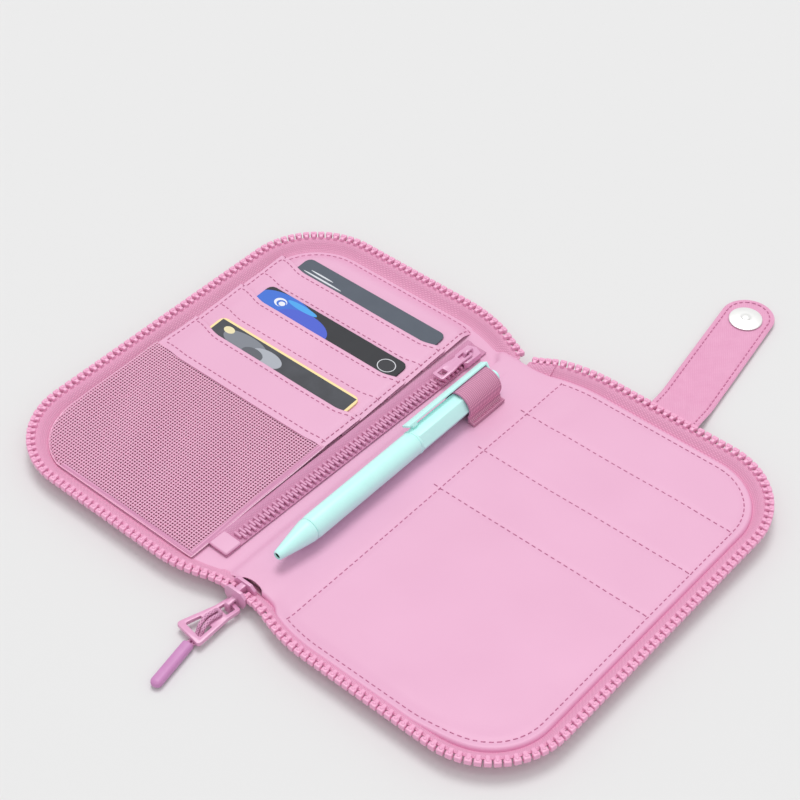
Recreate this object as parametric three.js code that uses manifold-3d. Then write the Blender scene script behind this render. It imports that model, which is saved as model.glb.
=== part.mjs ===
import * as THREE from "three";
import Module from "manifold-3d";

const wasm = await Module();
wasm.setup();
const { Manifold, Mesh } = wasm;

// Sizes in mm. The wallet lies open on the table: spine along Y, halves to either side, up is +Z.

// Plan of one half, seen from the centre of the spine
const creaseX = 15.5;
const creaseGap = 0.15;
const rowX = 141.3;
const rowY = 100.4;
const rowRadius = 36;
const arcSteps = 9;
const pinchDeep = 9.5;
const pinchFrom = 42;
const pinchFull = 5;
const gap = 0.3;

// Layers of a half, from the table up
const coverThick = 1.2;
const coverWallTop = 6.4;
const coverFootInset = 6.4;
const coverTopInset = 1.6;
const coverWall = 1.5;
const boardThick = 1.2;
const boardInset = 9;
const backingThick = 0.5;
const backingInset = 13;
const boardZ = coverThick + 0.2;
const backingZ = boardZ + boardThick + 0.2;
const liningZ = backingZ + backingThick + 0.2;
const liningThick = 0.4;
const liningInset = 6.3;
const liningTop = liningZ + liningThick;
const panelTop = 6.1;

// Zip round the edge
const rowZ = 8.1;
const toothPitch = 3.6;
const toothLong = 2.3;
const toothReach = 2.3;
const toothTall = 2.6;
const beadInner = 1.6;
const tapeThick = 0.5;

// Stitch lines
const stitchInset = 9.9;
const grooveWide = 0.5;
const grooveDeep = 0.35;

// Right half
const panelInnerX = 23.3;
const crossSeams = [63, 33, 3.4];

// Left half: cards, slots and mesh
const slotLeftX = -(rowX - stitchInset);
const slotRightX = -30.1;
const cardWide = 85.6;
const cardHigh = 54;
const cardThick = 0.8;
const cardRadius = 3.2;
const cardClear = 0.1;
const slotSheet = 0.4;
const slotEdges = [67.9, 40, 9.9];
const slotSeams = [53.9, 24.6];
const cardLefts = [-121.1, -121.3, -122.9];
const cardTops = [78.1, 51.6, 20.9];
const slotPitch = 29;
const slotStep = cardThick + 2 * cardClear + slotSheet;
const slotSlope = slotStep / slotPitch;
const slotHigh = liningTop + 0.1 + slotStep + slotSlope * 46;
const meshTopY = -11.9;
const meshBottomY = -(rowY - stitchInset + 2.4);
const meshThick = 0.5;
const meshHole = 5;
const meshPitch = 8;

// Zip along the inner pocket
const chainX = -21.3;
const chainLean = 1.1;
const chainWide = 5;
const chainThick = 1.7;
const chainBottomY = -72;
const chainTopY = 81;
const chainPitch = 2.8;
const innerPullLean = 1;
const innerTapeLeft = chainX - 7;
const innerTapeRight = chainX + 3.7;
const innerTapeZ = liningTop + 0.2;
const chainZ = innerTapeZ + tapeThick + 0.2;

// Spine
const spineTopY = 88;
const spineBottomY = -88.2;
const spineCoverY = rowY - coverFootInset - 4.8;
const spineLeft = -8.8;
const spineRight = 11.3;
const spineLiningTop = 6;
const spineLiningThick = 0.7;

// Pen in its loop
const penX = 1.8;
const penRadius = 5.5;
const hexFlat = 5.35;
const loopThick = 0.8;
const loopRadius = 6.5;
const penZ = spineLiningTop + 0.15 + loopThick + loopRadius;
const penTipY = -74;
const penConeY = -54.5;
const penJointY = 11.5;
const penEndY = 63.4;
const penBore = 4;
const loopNearY = 41;
const loopFarY = 62.6;
const clipAngle = 122;

// Slider of the outer zip and its pull
const sliderX = -0.8;
const sliderWide = 11.4;
const sliderInnerY = -89.6;
const sliderPlate = 1.4;
const sliderGap = 4.2;
const sliderBottomZ = 1.7;
const sliderTopZ = 10.4;
const pullZ = 2.3;
const pullThick = 1.9;
const pullLean = 8.5;
const pullShift = 1;
const pullLong = 23;
const cordRadius = 0.9;
const gripLong = 24;
const gripLean = 19;
const gripShift = 2.6;

// Strap with its snap
const strapX = 73.3;
const strapWide = 25;
const strapLean = 9.3;
const strapLong = 97;
const strapThick = 2;
const strapZ = 0.5;
const snapRadius = 7.9;
const snapFromTip = 15.2;

const group = new THREE.Group();

function addMesh(name, geometry, colour, roughness = 0.6, metalness = 0) {
  const material = new THREE.MeshStandardMaterial({ color: colour, roughness, metalness });
  const mesh = new THREE.Mesh(geometry, material);
  mesh.name = name;
  group.add(mesh);
}

// Between drawn geometry and closed solids
function solid(geometry) {
  const plain = geometry.index ? geometry.toNonIndexed() : geometry;
  const at = plain.attributes.position;
  const order = Uint32Array.from({ length: at.count }, (_, i) => i);
  const closed = (triVerts) => {
    const mesh = new Mesh({ numProp: 3, vertProperties: new Float32Array(at.array), triVerts });
    mesh.merge();
    return new Manifold(mesh);
  };
  const body = closed(order);
  return body.volume() > 0 ? body : closed(order.reverse());
}

function drawn(body) {
  const mesh = body.getMesh();
  const geometry = new THREE.BufferGeometry();
  geometry.setAttribute("position", new THREE.BufferAttribute(new Float32Array(mesh.vertProperties), 3));
  geometry.setIndex(new THREE.BufferAttribute(new Uint32Array(mesh.triVerts), 1));
  return geometry;
}

// A closed outline raised from z0 to z1
function prism(points, z0, z1, holes = []) {
  const outline = points.map(([x, y]) => new THREE.Vector2(x, y));
  if (THREE.ShapeUtils.isClockWise(outline)) outline.reverse();
  const shape = new THREE.Shape(outline);
  for (const hole of holes) shape.holes.push(new THREE.Path(hole.map(([x, y]) => new THREE.Vector2(x, y))));
  const geometry = new THREE.ExtrudeGeometry(shape, { depth: z1 - z0, bevelEnabled: false });
  return solid(geometry.translate(0, 0, z0));
}

function box(x0, x1, y0, y1, z0, z1) {
  return Manifold.cube([x1 - x0, y1 - y0, z1 - z0]).translate([x0, y0, z0]);
}

// An outline in x and z carried along y
function alongY(points, y0, y1, holes = []) {
  return prism(points, -y1, -y0, holes).rotate([90, 0, 0]);
}

// An outline in y and z carried along x
function alongX(points, x0, x1) {
  return prism(points, x0, x1).transform([0, 1, 0, 0, 0, 0, 1, 0, 1, 0, 0, 0, 0, 0, 0, 1]);
}

function mirrored(body) {
  return body.mirror([1, 0, 0]);
}

function roundedBox(x0, x1, y0, y1, radius, steps = 4) {
  const points = [];
  const corners = [[x1 - radius, y1 - radius, 0], [x0 + radius, y1 - radius, 90],
    [x0 + radius, y0 + radius, 180], [x1 - radius, y0 + radius, 270]];
  for (const [cx, cy, start] of corners) {
    for (let i = 0; i <= steps; i++) {
      const a = THREE.MathUtils.degToRad(start + (90 * i) / steps);
      points.push([cx + radius * Math.cos(a), cy + radius * Math.sin(a)]);
    }
  }
  return points;
}

// How far the edge draws in towards the spine
function pinch(x) {
  const t = Math.min(1, Math.max(0, (pinchFrom - x) / (pinchFrom - pinchFull)));
  return pinchDeep * t * t;
}

// The open path round three sides of the right half, from the lower crease to the upper one
function edgePath(inset, startX, pinched = 1) {
  const waist = [0, 0.2, 0.42, 0.68, 1].map((t) => startX + t * (pinchFrom - startX));
  const side = waist.map((x) => [x, rowY - inset - pinched * pinch(x)]);
  const points = side.map(([x, y]) => [x, -y]);
  for (const [cy, start] of [[-(rowY - rowRadius), -90], [rowY - rowRadius, 0]]) {
    for (let i = 0; i <= arcSteps; i++) {
      const a = THREE.MathUtils.degToRad(start + (90 * i) / arcSteps);
      const r = rowRadius - inset;
      points.push([rowX - rowRadius + r * Math.cos(a), cy + r * Math.sin(a)]);
    }
  }
  return [...points, ...side.reverse()];
}

// Stacked outlines of the half, joined into one solid
function halfLoft(levels, startX) {
  const rings = levels.map(([z, inset]) => edgePath(inset, startX).map(([x, y]) => [x, y, z]));
  return skin(rings, true);
}

// Closes rings of equal length into a skin, with flat ends
function skin(rings) {
  const count = rings[0].length;
  const index = [];
  for (let k = 0; k + 1 < rings.length; k++) {
    for (let i = 0; i < count; i++) {
      const a = k * count + i;
      const b = k * count + ((i + 1) % count);
      index.push(a, b, b + count, a, b + count, a + count);
    }
  }
  const flat = flatten(rings[0]);
  const caps = THREE.ShapeUtils.triangulateShape(flat, []);
  const last = (rings.length - 1) * count;
  const turned = THREE.ShapeUtils.isClockWise(flat);
  for (const [a, b, c] of caps) {
    index.push(...(turned ? [a, b, c] : [a, c, b]));
    index.push(...(turned ? [last + a, last + c, last + b] : [last + a, last + b, last + c]));
  }
  const geometry = new THREE.BufferGeometry();
  geometry.setAttribute("position", new THREE.Float32BufferAttribute(rings.flat(2), 3));
  geometry.setIndex(index);
  return solid(geometry);
}

// Ring points seen along the ring's own normal
function flatten(ring) {
  const p = ring.map(([x, y, z]) => new THREE.Vector3(x, y, z));
  const normal = new THREE.Vector3();
  for (let i = 0; i < p.length; i++) normal.add(new THREE.Vector3().crossVectors(p[i], p[(i + 1) % p.length]));
  normal.normalize();
  const u = new THREE.Vector3().subVectors(p[1], p[0]).normalize();
  const v = new THREE.Vector3().crossVectors(normal, u);
  return p.map((q) => new THREE.Vector2(q.dot(u), q.dot(v)));
}

// Points along a path with the outward side of each
function walk(path, distances) {
  const lengths = [0];
  for (let i = 1; i < path.length; i++) {
    lengths.push(lengths[i - 1] + Math.hypot(path[i][0] - path[i - 1][0], path[i][1] - path[i - 1][1]));
  }
  const total = lengths[lengths.length - 1];
  const places = distances(total);
  return places.map((s) => {
    let i = 1;
    while (i < path.length - 1 && lengths[i] < s) i++;
    const t = (s - lengths[i - 1]) / (lengths[i] - lengths[i - 1]);
    const dx = (path[i][0] - path[i - 1][0]) / (lengths[i] - lengths[i - 1]);
    const dy = (path[i][1] - path[i - 1][1]) / (lengths[i] - lengths[i - 1]);
    const x = path[i - 1][0] + t * (path[i][0] - path[i - 1][0]);
    const y = path[i - 1][1] + t * (path[i][1] - path[i - 1][1]);
    return { x, y, nx: dy, ny: -dx };
  });
}

// Outline of square-shouldered teeth along the outer side of a path
function toothLine(path, pitch, long, reach) {
  const outline = [];
  walk(path, (total) => {
    const count = Math.floor((total - long) / pitch);
    const first = (total - count * pitch) / 2;
    const places = [];
    for (let i = 0; i <= count; i++) {
      const s = first + i * pitch;
      places.push(s - long / 2, s - long * 0.36, s + long * 0.36, s + long / 2);
    }
    return places;
  }).forEach((p, i) => {
    const out = i % 4 === 1 || i % 4 === 2 ? reach : 0.1;
    outline.push([p.x + p.nx * out, p.y + p.ny * out]);
  });
  return outline;
}

// A row of teeth on one bead
function toothRow(path, back, pitch, long, reach, z0, z1) {
  return prism([...toothLine(path, pitch, long, reach), ...[...back].reverse()], z0, z1);
}

// A band of fabric following the edge of the half: its section is given as inset and height
function edgeBand(section, startX) {
  const rings = [];
  const count = edgePath(0, startX).length;
  const paths = section.map(([inset]) => edgePath(inset, startX));
  for (let k = 0; k < count; k++) rings.push(section.map(([, z], j) => [paths[j][k][0], paths[j][k][1], z]));
  return skin(rings);
}

function thickened(line, thick) {
  const low = line.map(([n, z]) => [n, z - thick / 2]);
  const high = line.map(([n, z]) => [n, z + thick / 2]);
  return [...low, ...high.reverse()];
}

const startX = creaseX + creaseGap;

function outerCover() {
  const outer = halfLoft([[0, coverFootInset + 0.6], [0.6, coverFootInset], [coverWallTop, coverTopInset]], startX);
  const slope = (coverFootInset - coverTopInset) / (coverWallTop - 0.6);
  const floorInset = coverFootInset - slope * (coverThick - 0.6) + coverWall;
  const inner = halfLoft([[coverThick, floorInset], [coverWallTop + 1, coverTopInset + coverWall - slope]], startX - 2);
  return outer.subtract(inner);
}

function plate(inset, z0, thick) {
  return prism(edgePath(inset, startX), z0, z0 + thick);
}

function zipTape() {
  const line = [[12.2, backingZ + 0.25], [7.6, backingZ + 0.25], [5.1, 5], [3.2, 7.2], [beadInner + gap, rowZ - 0.2]];
  return edgeBand(thickened(line, tapeThick), startX);
}

function zipTeeth() {
  const path = edgePath(0, startX + gap);
  const back = edgePath(beadInner, startX + gap);
  return toothRow(path, back, toothPitch, toothLong, toothReach, rowZ - toothTall / 2, rowZ + toothTall / 2);
}

// Right half: a padded panel with rolled edge and stitch grooves
function liningPanel() {
  const levels = [[liningZ, liningInset + 1.6], [liningZ + 1.3, liningInset], [panelTop - 0.6, liningInset],
    [panelTop, liningInset + 1]];
  const body = halfLoft(levels, startX);
  const seamX = rowX - stitchInset;
  const seamY = rowY - stitchInset;
  const z0 = panelTop - grooveDeep;
  const z1 = panelTop + 1;
  const ring = prism(edgePath(stitchInset - grooveWide / 2, panelInnerX - grooveWide / 2, 0), z0, z1)
    .subtract(prism(edgePath(stitchInset + grooveWide / 2, panelInnerX + grooveWide / 2, 0), z0 - 1, z1 + 1));
  let cut = ring;
  for (const y of crossSeams) {
    cut = cut.add(box(panelInnerX, seamX, y - grooveWide / 2, y + grooveWide / 2, z0, z1));
  }
  return body.subtract(cut.intersect(box(0, rowX, -seamY - 1, seamY + 1, z0, z1)));
}

// Height of the slot panel's upper face at the mouth of each slot falls away towards the next
function slotTopAt(y, k) {
  return slotHigh - slotSlope * (slotEdges[k] - y);
}

function cardPlace(k) {
  const drop = slotSheet + cardClear + cardThick;
  const z = slotTopAt(cardTops[k], k) - drop;
  return { left: cardLefts[k], top: cardTops[k], z };
}

function cardBlank(k, grow) {
  const { left, top, z } = cardPlace(k);
  const outline = roundedBox(-grow, cardWide + grow, -cardHigh - grow, grow, cardRadius + grow, 3);
  const tilt = THREE.MathUtils.radToDeg(Math.atan(slotSlope));
  return prism(outline, -grow, cardThick + grow).rotate([tilt, 0, 0]).translate([left, top, z]);
}

function cardSlotPanel() {
  const base = liningTop + 0.1;
  const last = slotEdges.length - 1;
  const top = rowY - stitchInset - 0.6;
  const outline = [[-36, base], [top, base], [top, base + 0.6]];
  outline.push([cardTops[0] + 3, slotTopAt(cardTops[0] + 3, 0) - slotStep], [slotEdges[0], slotHigh - slotStep]);
  slotEdges.forEach((y, k) => {
    outline.push([y, slotHigh]);
    if (k < last) outline.push([slotEdges[k + 1], slotTopAt(slotEdges[k + 1], k)]);
  });
  outline.push([-36, slotTopAt(-36, last)]);
  let body = alongX(outline, slotLeftX, slotRightX);
  for (let k = 0; k <= last; k++) {
    body = body.subtract(cardBlank(k, cardClear));
    if (k < last) {
      const y = slotSeams[k];
      const z = slotTopAt(y, k);
      body = body.subtract(box(slotLeftX - 1, slotRightX + 1, y - grooveWide / 2, y + grooveWide / 2, z - 0.2, z + 2));
    }
  }
  return body.intersect(leftPlan());
}

// Outline that the pockets of the left half keep within
function leftPlan() {
  return mirrored(prism(edgePath(stitchInset - 2.2, startX), 0, 30));
}

function meshHeight(y) {
  const high = slotTopAt(meshTopY, slotEdges.length - 1) + gap;
  const low = liningTop + 0.7;
  return low + ((high - low) * (y - meshBottomY)) / (meshTopY - meshBottomY);
}

function meshPocket() {
  const z0 = liningTop + 0.1;
  const sheet = [[meshBottomY, meshHeight(meshBottomY)], [meshTopY, meshHeight(meshTopY)],
    [meshTopY, meshHeight(meshTopY) + meshThick], [meshBottomY, meshHeight(meshBottomY) + meshThick]];
  let body = alongX(sheet, slotLeftX - 1, slotRightX);
  const wallTop = -36 - gap;
  const wall = [[meshBottomY, z0], [wallTop, z0], [wallTop, meshHeight(wallTop) + 0.1],
    [meshBottomY, meshHeight(meshBottomY) + 0.1]];
  const foot = [[meshBottomY, z0], [meshBottomY + 2, z0], [meshBottomY + 2, meshHeight(meshBottomY + 2) + 0.1],
    [meshBottomY, meshHeight(meshBottomY) + 0.1]];
  body = body.add(alongX(wall, slotLeftX - 1, slotLeftX + 1)).add(alongX(foot, slotLeftX, slotRightX));
  const across = Math.floor((slotRightX - slotLeftX - 8) / meshPitch);
  const down = Math.floor((meshTopY - meshBottomY - 9) / meshPitch);
  const holes = [];
  for (let i = 0; i < across; i++) {
    for (let j = 0; j < down; j++) {
      const x = slotLeftX + 5 + i * meshPitch;
      const y = meshBottomY + 6 + j * meshPitch;
      if (x - slotLeftX + (y - meshBottomY) > rowRadius - stitchInset - 4) {
        holes.push(box(x, x + meshHole, y, y + meshHole, 0, 20));
      }
    }
  }
  body = body.subtract(Manifold.union(holes));
  return body.intersect(leftPlan());
}

// Inner pocket zip, leaning a little towards the spine at its upper end
function placedChain(body) {
  return body.translate([-chainX, 0, 0]).rotate([0, 0, -chainLean]).translate([chainX, 0, 0]);
}

function innerZipTeeth() {
  const side = (x, from, to) => toothLine([[x, from], [x, to]], chainPitch, chainPitch * 0.62, chainWide / 2 - 1);
  const outline = [...side(chainX + 1, chainBottomY, chainTopY), ...side(chainX - 1, chainTopY, chainBottomY)];
  return placedChain(prism(outline, chainZ, chainZ + chainThick));
}

const innerSliderY = chainTopY - 11;

function innerSlider() {
  const y = innerSliderY;
  const half = chainWide / 2 + gap;
  const wall = 1.2;
  const top = chainZ + chainThick + gap;
  const long = 9;
  const plan = [[chainX - half - wall, y], [chainX - half - wall + 1.2, y - 1.4], [chainX + half + wall - 1.2, y - 1.4],
    [chainX + half + wall, y], [chainX + half + wall, y + long], [chainX, y + long + 1.5],
    [chainX - half - wall, y + long]];
  let body = prism(plan, innerTapeZ + tapeThick + 0.15, top + 1.1);
  body = body.subtract(box(chainX - half, chainX + half, y - 5, y + long + 5, 0, top));
  const bailZ = top + 1.1;
  const bail = [[y + 1.6, bailZ - 0.1], [y + 7.6, bailZ - 0.1], [y + 7.2, bailZ + 2], [y + 6, bailZ + 2.7],
    [y + 3.2, bailZ + 2.7], [y + 2, bailZ + 2]];
  const hole = [[y + 2.9, bailZ + 0.1], [y + 6.3, bailZ + 0.1], [y + 6.1, bailZ + 1.5], [y + 5.6, bailZ + 1.8],
    [y + 3.5, bailZ + 1.8], [y + 3.1, bailZ + 1.5]];
  body = body.add(alongX(bail, chainX - 0.8, chainX + 0.8)).subtract(alongX(hole, chainX - 2, chainX + 2));
  return placedChain(body);
}

function innerPull() {
  const y = innerSliderY;
  const z0 = chainZ + chainThick + gap + 1.1 + 0.3;
  const z1 = z0 + 1;
  const near = y + 5.2;
  const far = y - 17;
  const outline = [[chainX - 2.2, near], [chainX - 2.7, near - 1], [chainX - 2.4, near - 9], [chainX - 3.1, near - 14],
    [chainX - 3.1, far + 0.6], [chainX - 2.5, far], [chainX + 2.5, far], [chainX + 3.1, far + 0.6],
    [chainX + 3.1, near - 14], [chainX + 2.4, near - 9], [chainX + 2.7, near - 1], [chainX + 2.2, near]];
  const eye = roundedBox(chainX - 1.5, chainX + 1.5, near - 6.6, near - 1.1, 0.4, 2);
  const window = roundedBox(chainX - 1.7, chainX + 1.7, far + 1.7, far + 5.6, 0.4, 2);
  return placedChain(prism(outline, z0, z1, [eye, window]).translate([-chainX, -near, 0])
    .rotate([0, 0, innerPullLean]).translate([chainX, near, 0]));
}

// Pen, drawn along its own axis and laid along Y
function penPart(profile, segments = 20) {
  const points = profile.map(([r, y]) => new THREE.Vector2(r, y));
  points.push(points[0].clone());
  return solid(new THREE.LatheGeometry(points, segments)).translate([penX, 0, penZ]);
}

function penTip() {
  return penPart([[1.35, penTipY], [2, penTipY], [penRadius - 0.15, penConeY - 0.1], [3.6, penConeY - 0.1],
    [3.4, penConeY - 3], [1.35, penTipY + 6]].reverse());
}

function penBarrel() {
  return penPart([[penBore, penConeY + 0.1], [penRadius - 0.1, penConeY + 0.1], [penRadius, penConeY + 2],
    [penRadius, penJointY - 0.3], [penBore, penJointY - 0.3]].reverse());
}

function hexPoints(flat) {
  const corner = flat / Math.cos(Math.PI / 6);
  return Array.from({ length: 6 }, (_, i) => {
    const a = THREE.MathUtils.degToRad(clipAngle - 30 + i * 60);
    return [penX + corner * Math.cos(a), penZ + corner * Math.sin(a)];
  });
}

function circle(cx, cy, radius, count) {
  return Array.from({ length: count }, (_, i) => {
    const a = (2 * Math.PI * i) / count;
    return [cx + radius * Math.cos(a), cy + radius * Math.sin(a)];
  });
}

function penUpperBody() {
  return alongY(hexPoints(hexFlat), penJointY, penEndY - 0.4, [circle(penX, penZ, penBore - 0.5, 16)]);
}

function penClip() {
  const inner = loopRadius + loopThick + gap;
  const crown = alongY(circle(penX, penZ, penRadius - 0.8, 16), penEndY - 0.2, penEndY + 1, [circle(penX, penZ, 3.3, 16)]);
  const arm = box(-2.2, 2.2, loopNearY - 30, penEndY + 1, inner, inner + 1);
  const root = box(-2.2, 2.2, penEndY - 0.2, penEndY + 1, 4, inner + 0.2);
  const bump = box(-2.2, 2.2, loopNearY - 28, loopNearY - 25, hexFlat + 0.95, inner + 0.2);
  const turned = arm.add(root).add(bump).rotate([0, -(clipAngle - 90), 0]).translate([penX, 0, penZ]);
  return crown.add(turned);
}

function penButton() {
  return alongY(circle(penX, penZ, 3, 14), penEndY - 20, penEndY + 3.6);
}

function penRefill() {
  return penPart([[0, penEndY - 20.3], [1.5, penEndY - 20.3], [1.5, penTipY + 11], [1.1, penTipY + 9],
    [0.9, penTipY + 1.6], [0, penTipY + 1.2]], 12);
}

function penLoop() {
  const outer = loopRadius + loopThick;
  const footZ = spineLiningTop + 0.15;
  const footRight = spineRight - 0.2;
  const outline = [];
  for (let i = 0; i <= 22; i++) {
    const a = THREE.MathUtils.degToRad(-28 + (i * 298) / 22);
    outline.push([penX + outer * Math.cos(a), penZ + outer * Math.sin(a)]);
  }
  outline.push([penX + 5.2, footZ], [footRight, footZ], [footRight, footZ + 1.4], [penX + 7.2, footZ + 1.6]);
  return alongY(outline, loopNearY, loopFarY, [circle(penX, penZ, loopRadius, 24)]);
}

// Spine layers
function spineCover() {
  const half = creaseX - creaseGap;
  return prism(roundedBox(-half, half, -spineCoverY, spineCoverY, 0.4, 1), 0, coverThick);
}

function spinePadding() {
  return box(spineLeft, spineRight, spineBottomY + 0.8, spineTopY - 0.8, boardZ, spineLiningTop - spineLiningThick - 0.2);
}

function spineLining() {
  const points = [[spineLeft, spineBottomY], [-7, spineBottomY - 2.2]];
  points.push([sliderX - sliderWide / 2 - 0.5, spineBottomY - 0.6], [sliderX - sliderWide / 4, spineBottomY + 0.6]);
  points.push([sliderX + sliderWide / 4, spineBottomY + 0.6], [sliderX + sliderWide / 2 + 0.5, spineBottomY - 0.6]);
  points.push([7.4, spineBottomY - 2.2], [spineRight, spineBottomY]);
  points.push([spineRight, spineTopY - 1], [5, spineTopY], [-5, spineTopY], [spineLeft, spineTopY - 1]);
  return prism(points, spineLiningTop - spineLiningThick, spineLiningTop);
}

// Last teeth on the spine, between the plates of the slider or at the top end
function chainEnd(x0, y0, x1, y1) {
  const path = [[x0, y0], [x1, y1]];
  const [dx, dy] = [(x1 - x0) / Math.hypot(x1 - x0, y1 - y0), (y1 - y0) / Math.hypot(x1 - x0, y1 - y0)];
  const back = path.map(([x, y]) => [x - dy, y + dx]);
  return toothRow(path, back, toothPitch, toothLong, 1.5, rowZ - 3.2, rowZ - 0.8);
}

function mainSlider() {
  const half = sliderWide / 2;
  const tall = sliderTopZ - sliderBottomZ;
  const face = [[-half + 1.6, 0], [half - 1.6, 0], [half, tall * 0.35], [half, tall * 0.75], [half - 2.2, tall],
    [-half + 2.2, tall], [-half, tall * 0.75], [-half, tall * 0.35]].map(([x, z]) => [x + sliderX, z + sliderBottomZ]);
  const outerY = sliderInnerY - sliderPlate - sliderGap;
  const innerPlate = alongY(face, sliderInnerY - sliderPlate, sliderInnerY);
  const outerPlate = alongY(face, outerY - sliderPlate, outerY);
  const post = box(sliderX - 1.3, sliderX + 1.3, outerY - 0.2, sliderInnerY - sliderPlate + 0.2,
    sliderBottomZ + 2.6, sliderTopZ - 1);
  const back = outerY - sliderPlate;
  const bail = [[back + 0.2, 1], [back - 4.6, 1], [back - 5, 1.6], [back - 5, 5.2], [back - 4.4, 6.2], [back + 0.2, 6.2]];
  const hole = [[back - 0.3, 1.9], [back - 3.6, 1.9], [back - 3.6, 4.9], [back - 0.3, 4.9]];
  const ring = alongX(bail, sliderX - 1.1, sliderX + 1.1)
    .subtract(alongX(hole, sliderX - 3, sliderX + 3));
  return innerPlate.add(outerPlate).add(post).add(ring);
}

const pullHingeY = sliderInnerY - 2 * sliderPlate - sliderGap - 2;

function placedPull(body) {
  return body.rotate([0, 0, -pullLean]).translate([sliderX + pullShift, pullHingeY, 0]);
}

function pullFrame() {
  const far = -pullLong;
  const outline = [[-3.6, 0.8], [-4.2, 0.2], [-4.4, -6], [-7.2, far + 2.2], [-7.2, far + 0.8], [-6.4, far], [6.4, far],
    [7.2, far + 0.8], [7.2, far + 2.2], [4.4, -6], [4.2, 0.2], [3.6, 0.8]];
  const eye = roundedBox(-2.6, 2.6, -5.4, -0.9, 0.4, 2);
  const window = [[-3.9, far + 9.6], [3.9, far + 9.6], [4.8, far + 3.4], [4.2, far + 2.6], [-4.2, far + 2.6], [-4.8, far + 3.4]];
  return placedPull(prism(outline, pullZ, pullZ + pullThick, [eye, window]));
}

// The cord runs over the web of the pull, down through its window, under the far bar and into the grip
function cordPath() {
  const far = -pullLong;
  const over = pullZ + pullThick + cordRadius + 0.2;
  const under = pullZ - cordRadius - 0.15;
  const side = 1.3;
  const strand = [[0, far - 5, under], [0, far - 1, under], [0, far + 2.6, under], [0, far + 5, 2.6],
    [0, far + 6.6, 4.4], [0, far + 10.4, over], [0, far + 14, over]];
  const up = strand.map(([, y, z]) => new THREE.Vector3(...leaned(-side, y), z));
  const down = strand.map(([, y, z]) => new THREE.Vector3(...leaned(side, y), z)).reverse();
  const turn = [-1, -0.7, 0, 0.7, 1].map((t) => {
    const a = (t * Math.PI) / 2;
    return new THREE.Vector3(side * Math.sin(a), far + 15.2 + side * Math.cos(a) * 0.9, over);
  });
  return new THREE.CatmullRomCurve3([...up, ...turn, ...down]);
}

// Beyond the pull the grip swings to one side
function leaned(x0, y) {
  const far = -pullLong;
  const drift = Math.min(1, Math.max(0, (far + 9.5 - y) / 7));
  const x = x0 * (1 - 0.2 * drift);
  if (y > far) return [x + gripShift * drift, y];
  const a = THREE.MathUtils.degToRad(gripLean);
  const across = x * Math.cos(a) - (y - far) * Math.sin(a);
  return [gripShift + across, far + x * Math.sin(a) + (y - far) * Math.cos(a)];
}

function pullCord() {
  const shape = new THREE.Shape(circle(0, 0, cordRadius, 8).map(([x, y]) => new THREE.Vector2(x, y)));
  const geometry = new THREE.ExtrudeGeometry(shape, { steps: 56, extrudePath: cordPath(), bevelEnabled: false });
  return placedPull(solid(geometry));
}

function pullGrip() {
  const points = [];
  const half = 2.5;
  for (let i = 0; i <= 6; i++) {
    const a = THREE.MathUtils.degToRad(180 + i * 30);
    points.push([half * Math.cos(a), -gripLong + half + half * Math.sin(a)]);
  }
  points.push([half, -0.5], [half - 0.5, 0], [-half + 0.5, 0], [-half, -0.5]);
  const low = prism(points, 0.15, 3.9);
  const bore = box(-2.15, 2.15, -4, 1, 0.3, 2.4);
  const grip = low.subtract(bore).translate([0, -1.9, 0]).rotate([0, 0, gripLean]);
  return placedPull(grip.translate([gripShift, -pullLong, 0]));
}

// Strap, straight out from under the teeth of the right half's far edge
function closingStrap() {
  const half = strapWide / 2;
  const outline = [[-half, 0]];
  for (let i = 0; i <= 12; i++) {
    const a = THREE.MathUtils.degToRad(180 - i * 15);
    outline.push([half * Math.cos(a), strapLong - half + half * Math.sin(a)]);
  }
  outline.push([half, 0]);
  const plan = prism(outline, -1, 12);
  const rise = 3.2;
  const side = [[-1, strapZ + rise], [4, strapZ + rise], [20, strapZ], [strapLong + 1, strapZ],
    [strapLong + 1, strapZ + strapThick], [20, strapZ + strapThick], [4, strapZ + rise + strapThick],
    [-1, strapZ + rise + strapThick]];
  const band = alongX(side, -strapWide, strapWide);
  const hole = Manifold.cylinder(10, 2.4, 2.4, 16).translate([0, strapLong - snapFromTip, strapZ + 0.6]);
  const strap = plan.intersect(band).subtract(hole);
  return placedStrap(strap);
}

function placedStrap(body) {
  return body.rotate([0, 0, strapLean]).translate([strapX, rowY + toothReach * 0.2, 0]);
}

function snapStud() {
  const z = strapZ + strapThick + 0.15;
  const profile = [[0, strapZ + 0.75], [2.1, strapZ + 0.75], [2.1, z], [snapRadius - 0.3, z], [snapRadius, z + 0.3],
    [snapRadius - 0.5, z + 0.9], [2.2, z + 1], [1.9, z + 1.7], [0, z + 1.9]];
  const points = profile.map(([r, y]) => new THREE.Vector2(r, y));
  const geometry = new THREE.LatheGeometry(points, 24).rotateX(Math.PI / 2);
  return placedStrap(solid(geometry).translate([0, strapLong - snapFromTip, 0]));
}

const socketX = -strapX;
const socketY = 43;

function snapSocket() {
  const profile = [[0, 0.7], [2.4, 0.7], [2.4, 0.05], [snapRadius - 0.4, 0.05], [snapRadius, 0.3],
    [snapRadius, coverThick - 0.1], [0, coverThick - 0.1]];
  const points = profile.map(([r, y]) => new THREE.Vector2(r, y));
  return solid(new THREE.LatheGeometry(points, 24).rotateX(Math.PI / 2)).translate([socketX, socketY, 0]);
}

// Both halves
const fabric = "#d98fbb";
const lining = "#efb5d6";
const trim = "#c67fae";
const mint = "#a9e8e0";

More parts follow.
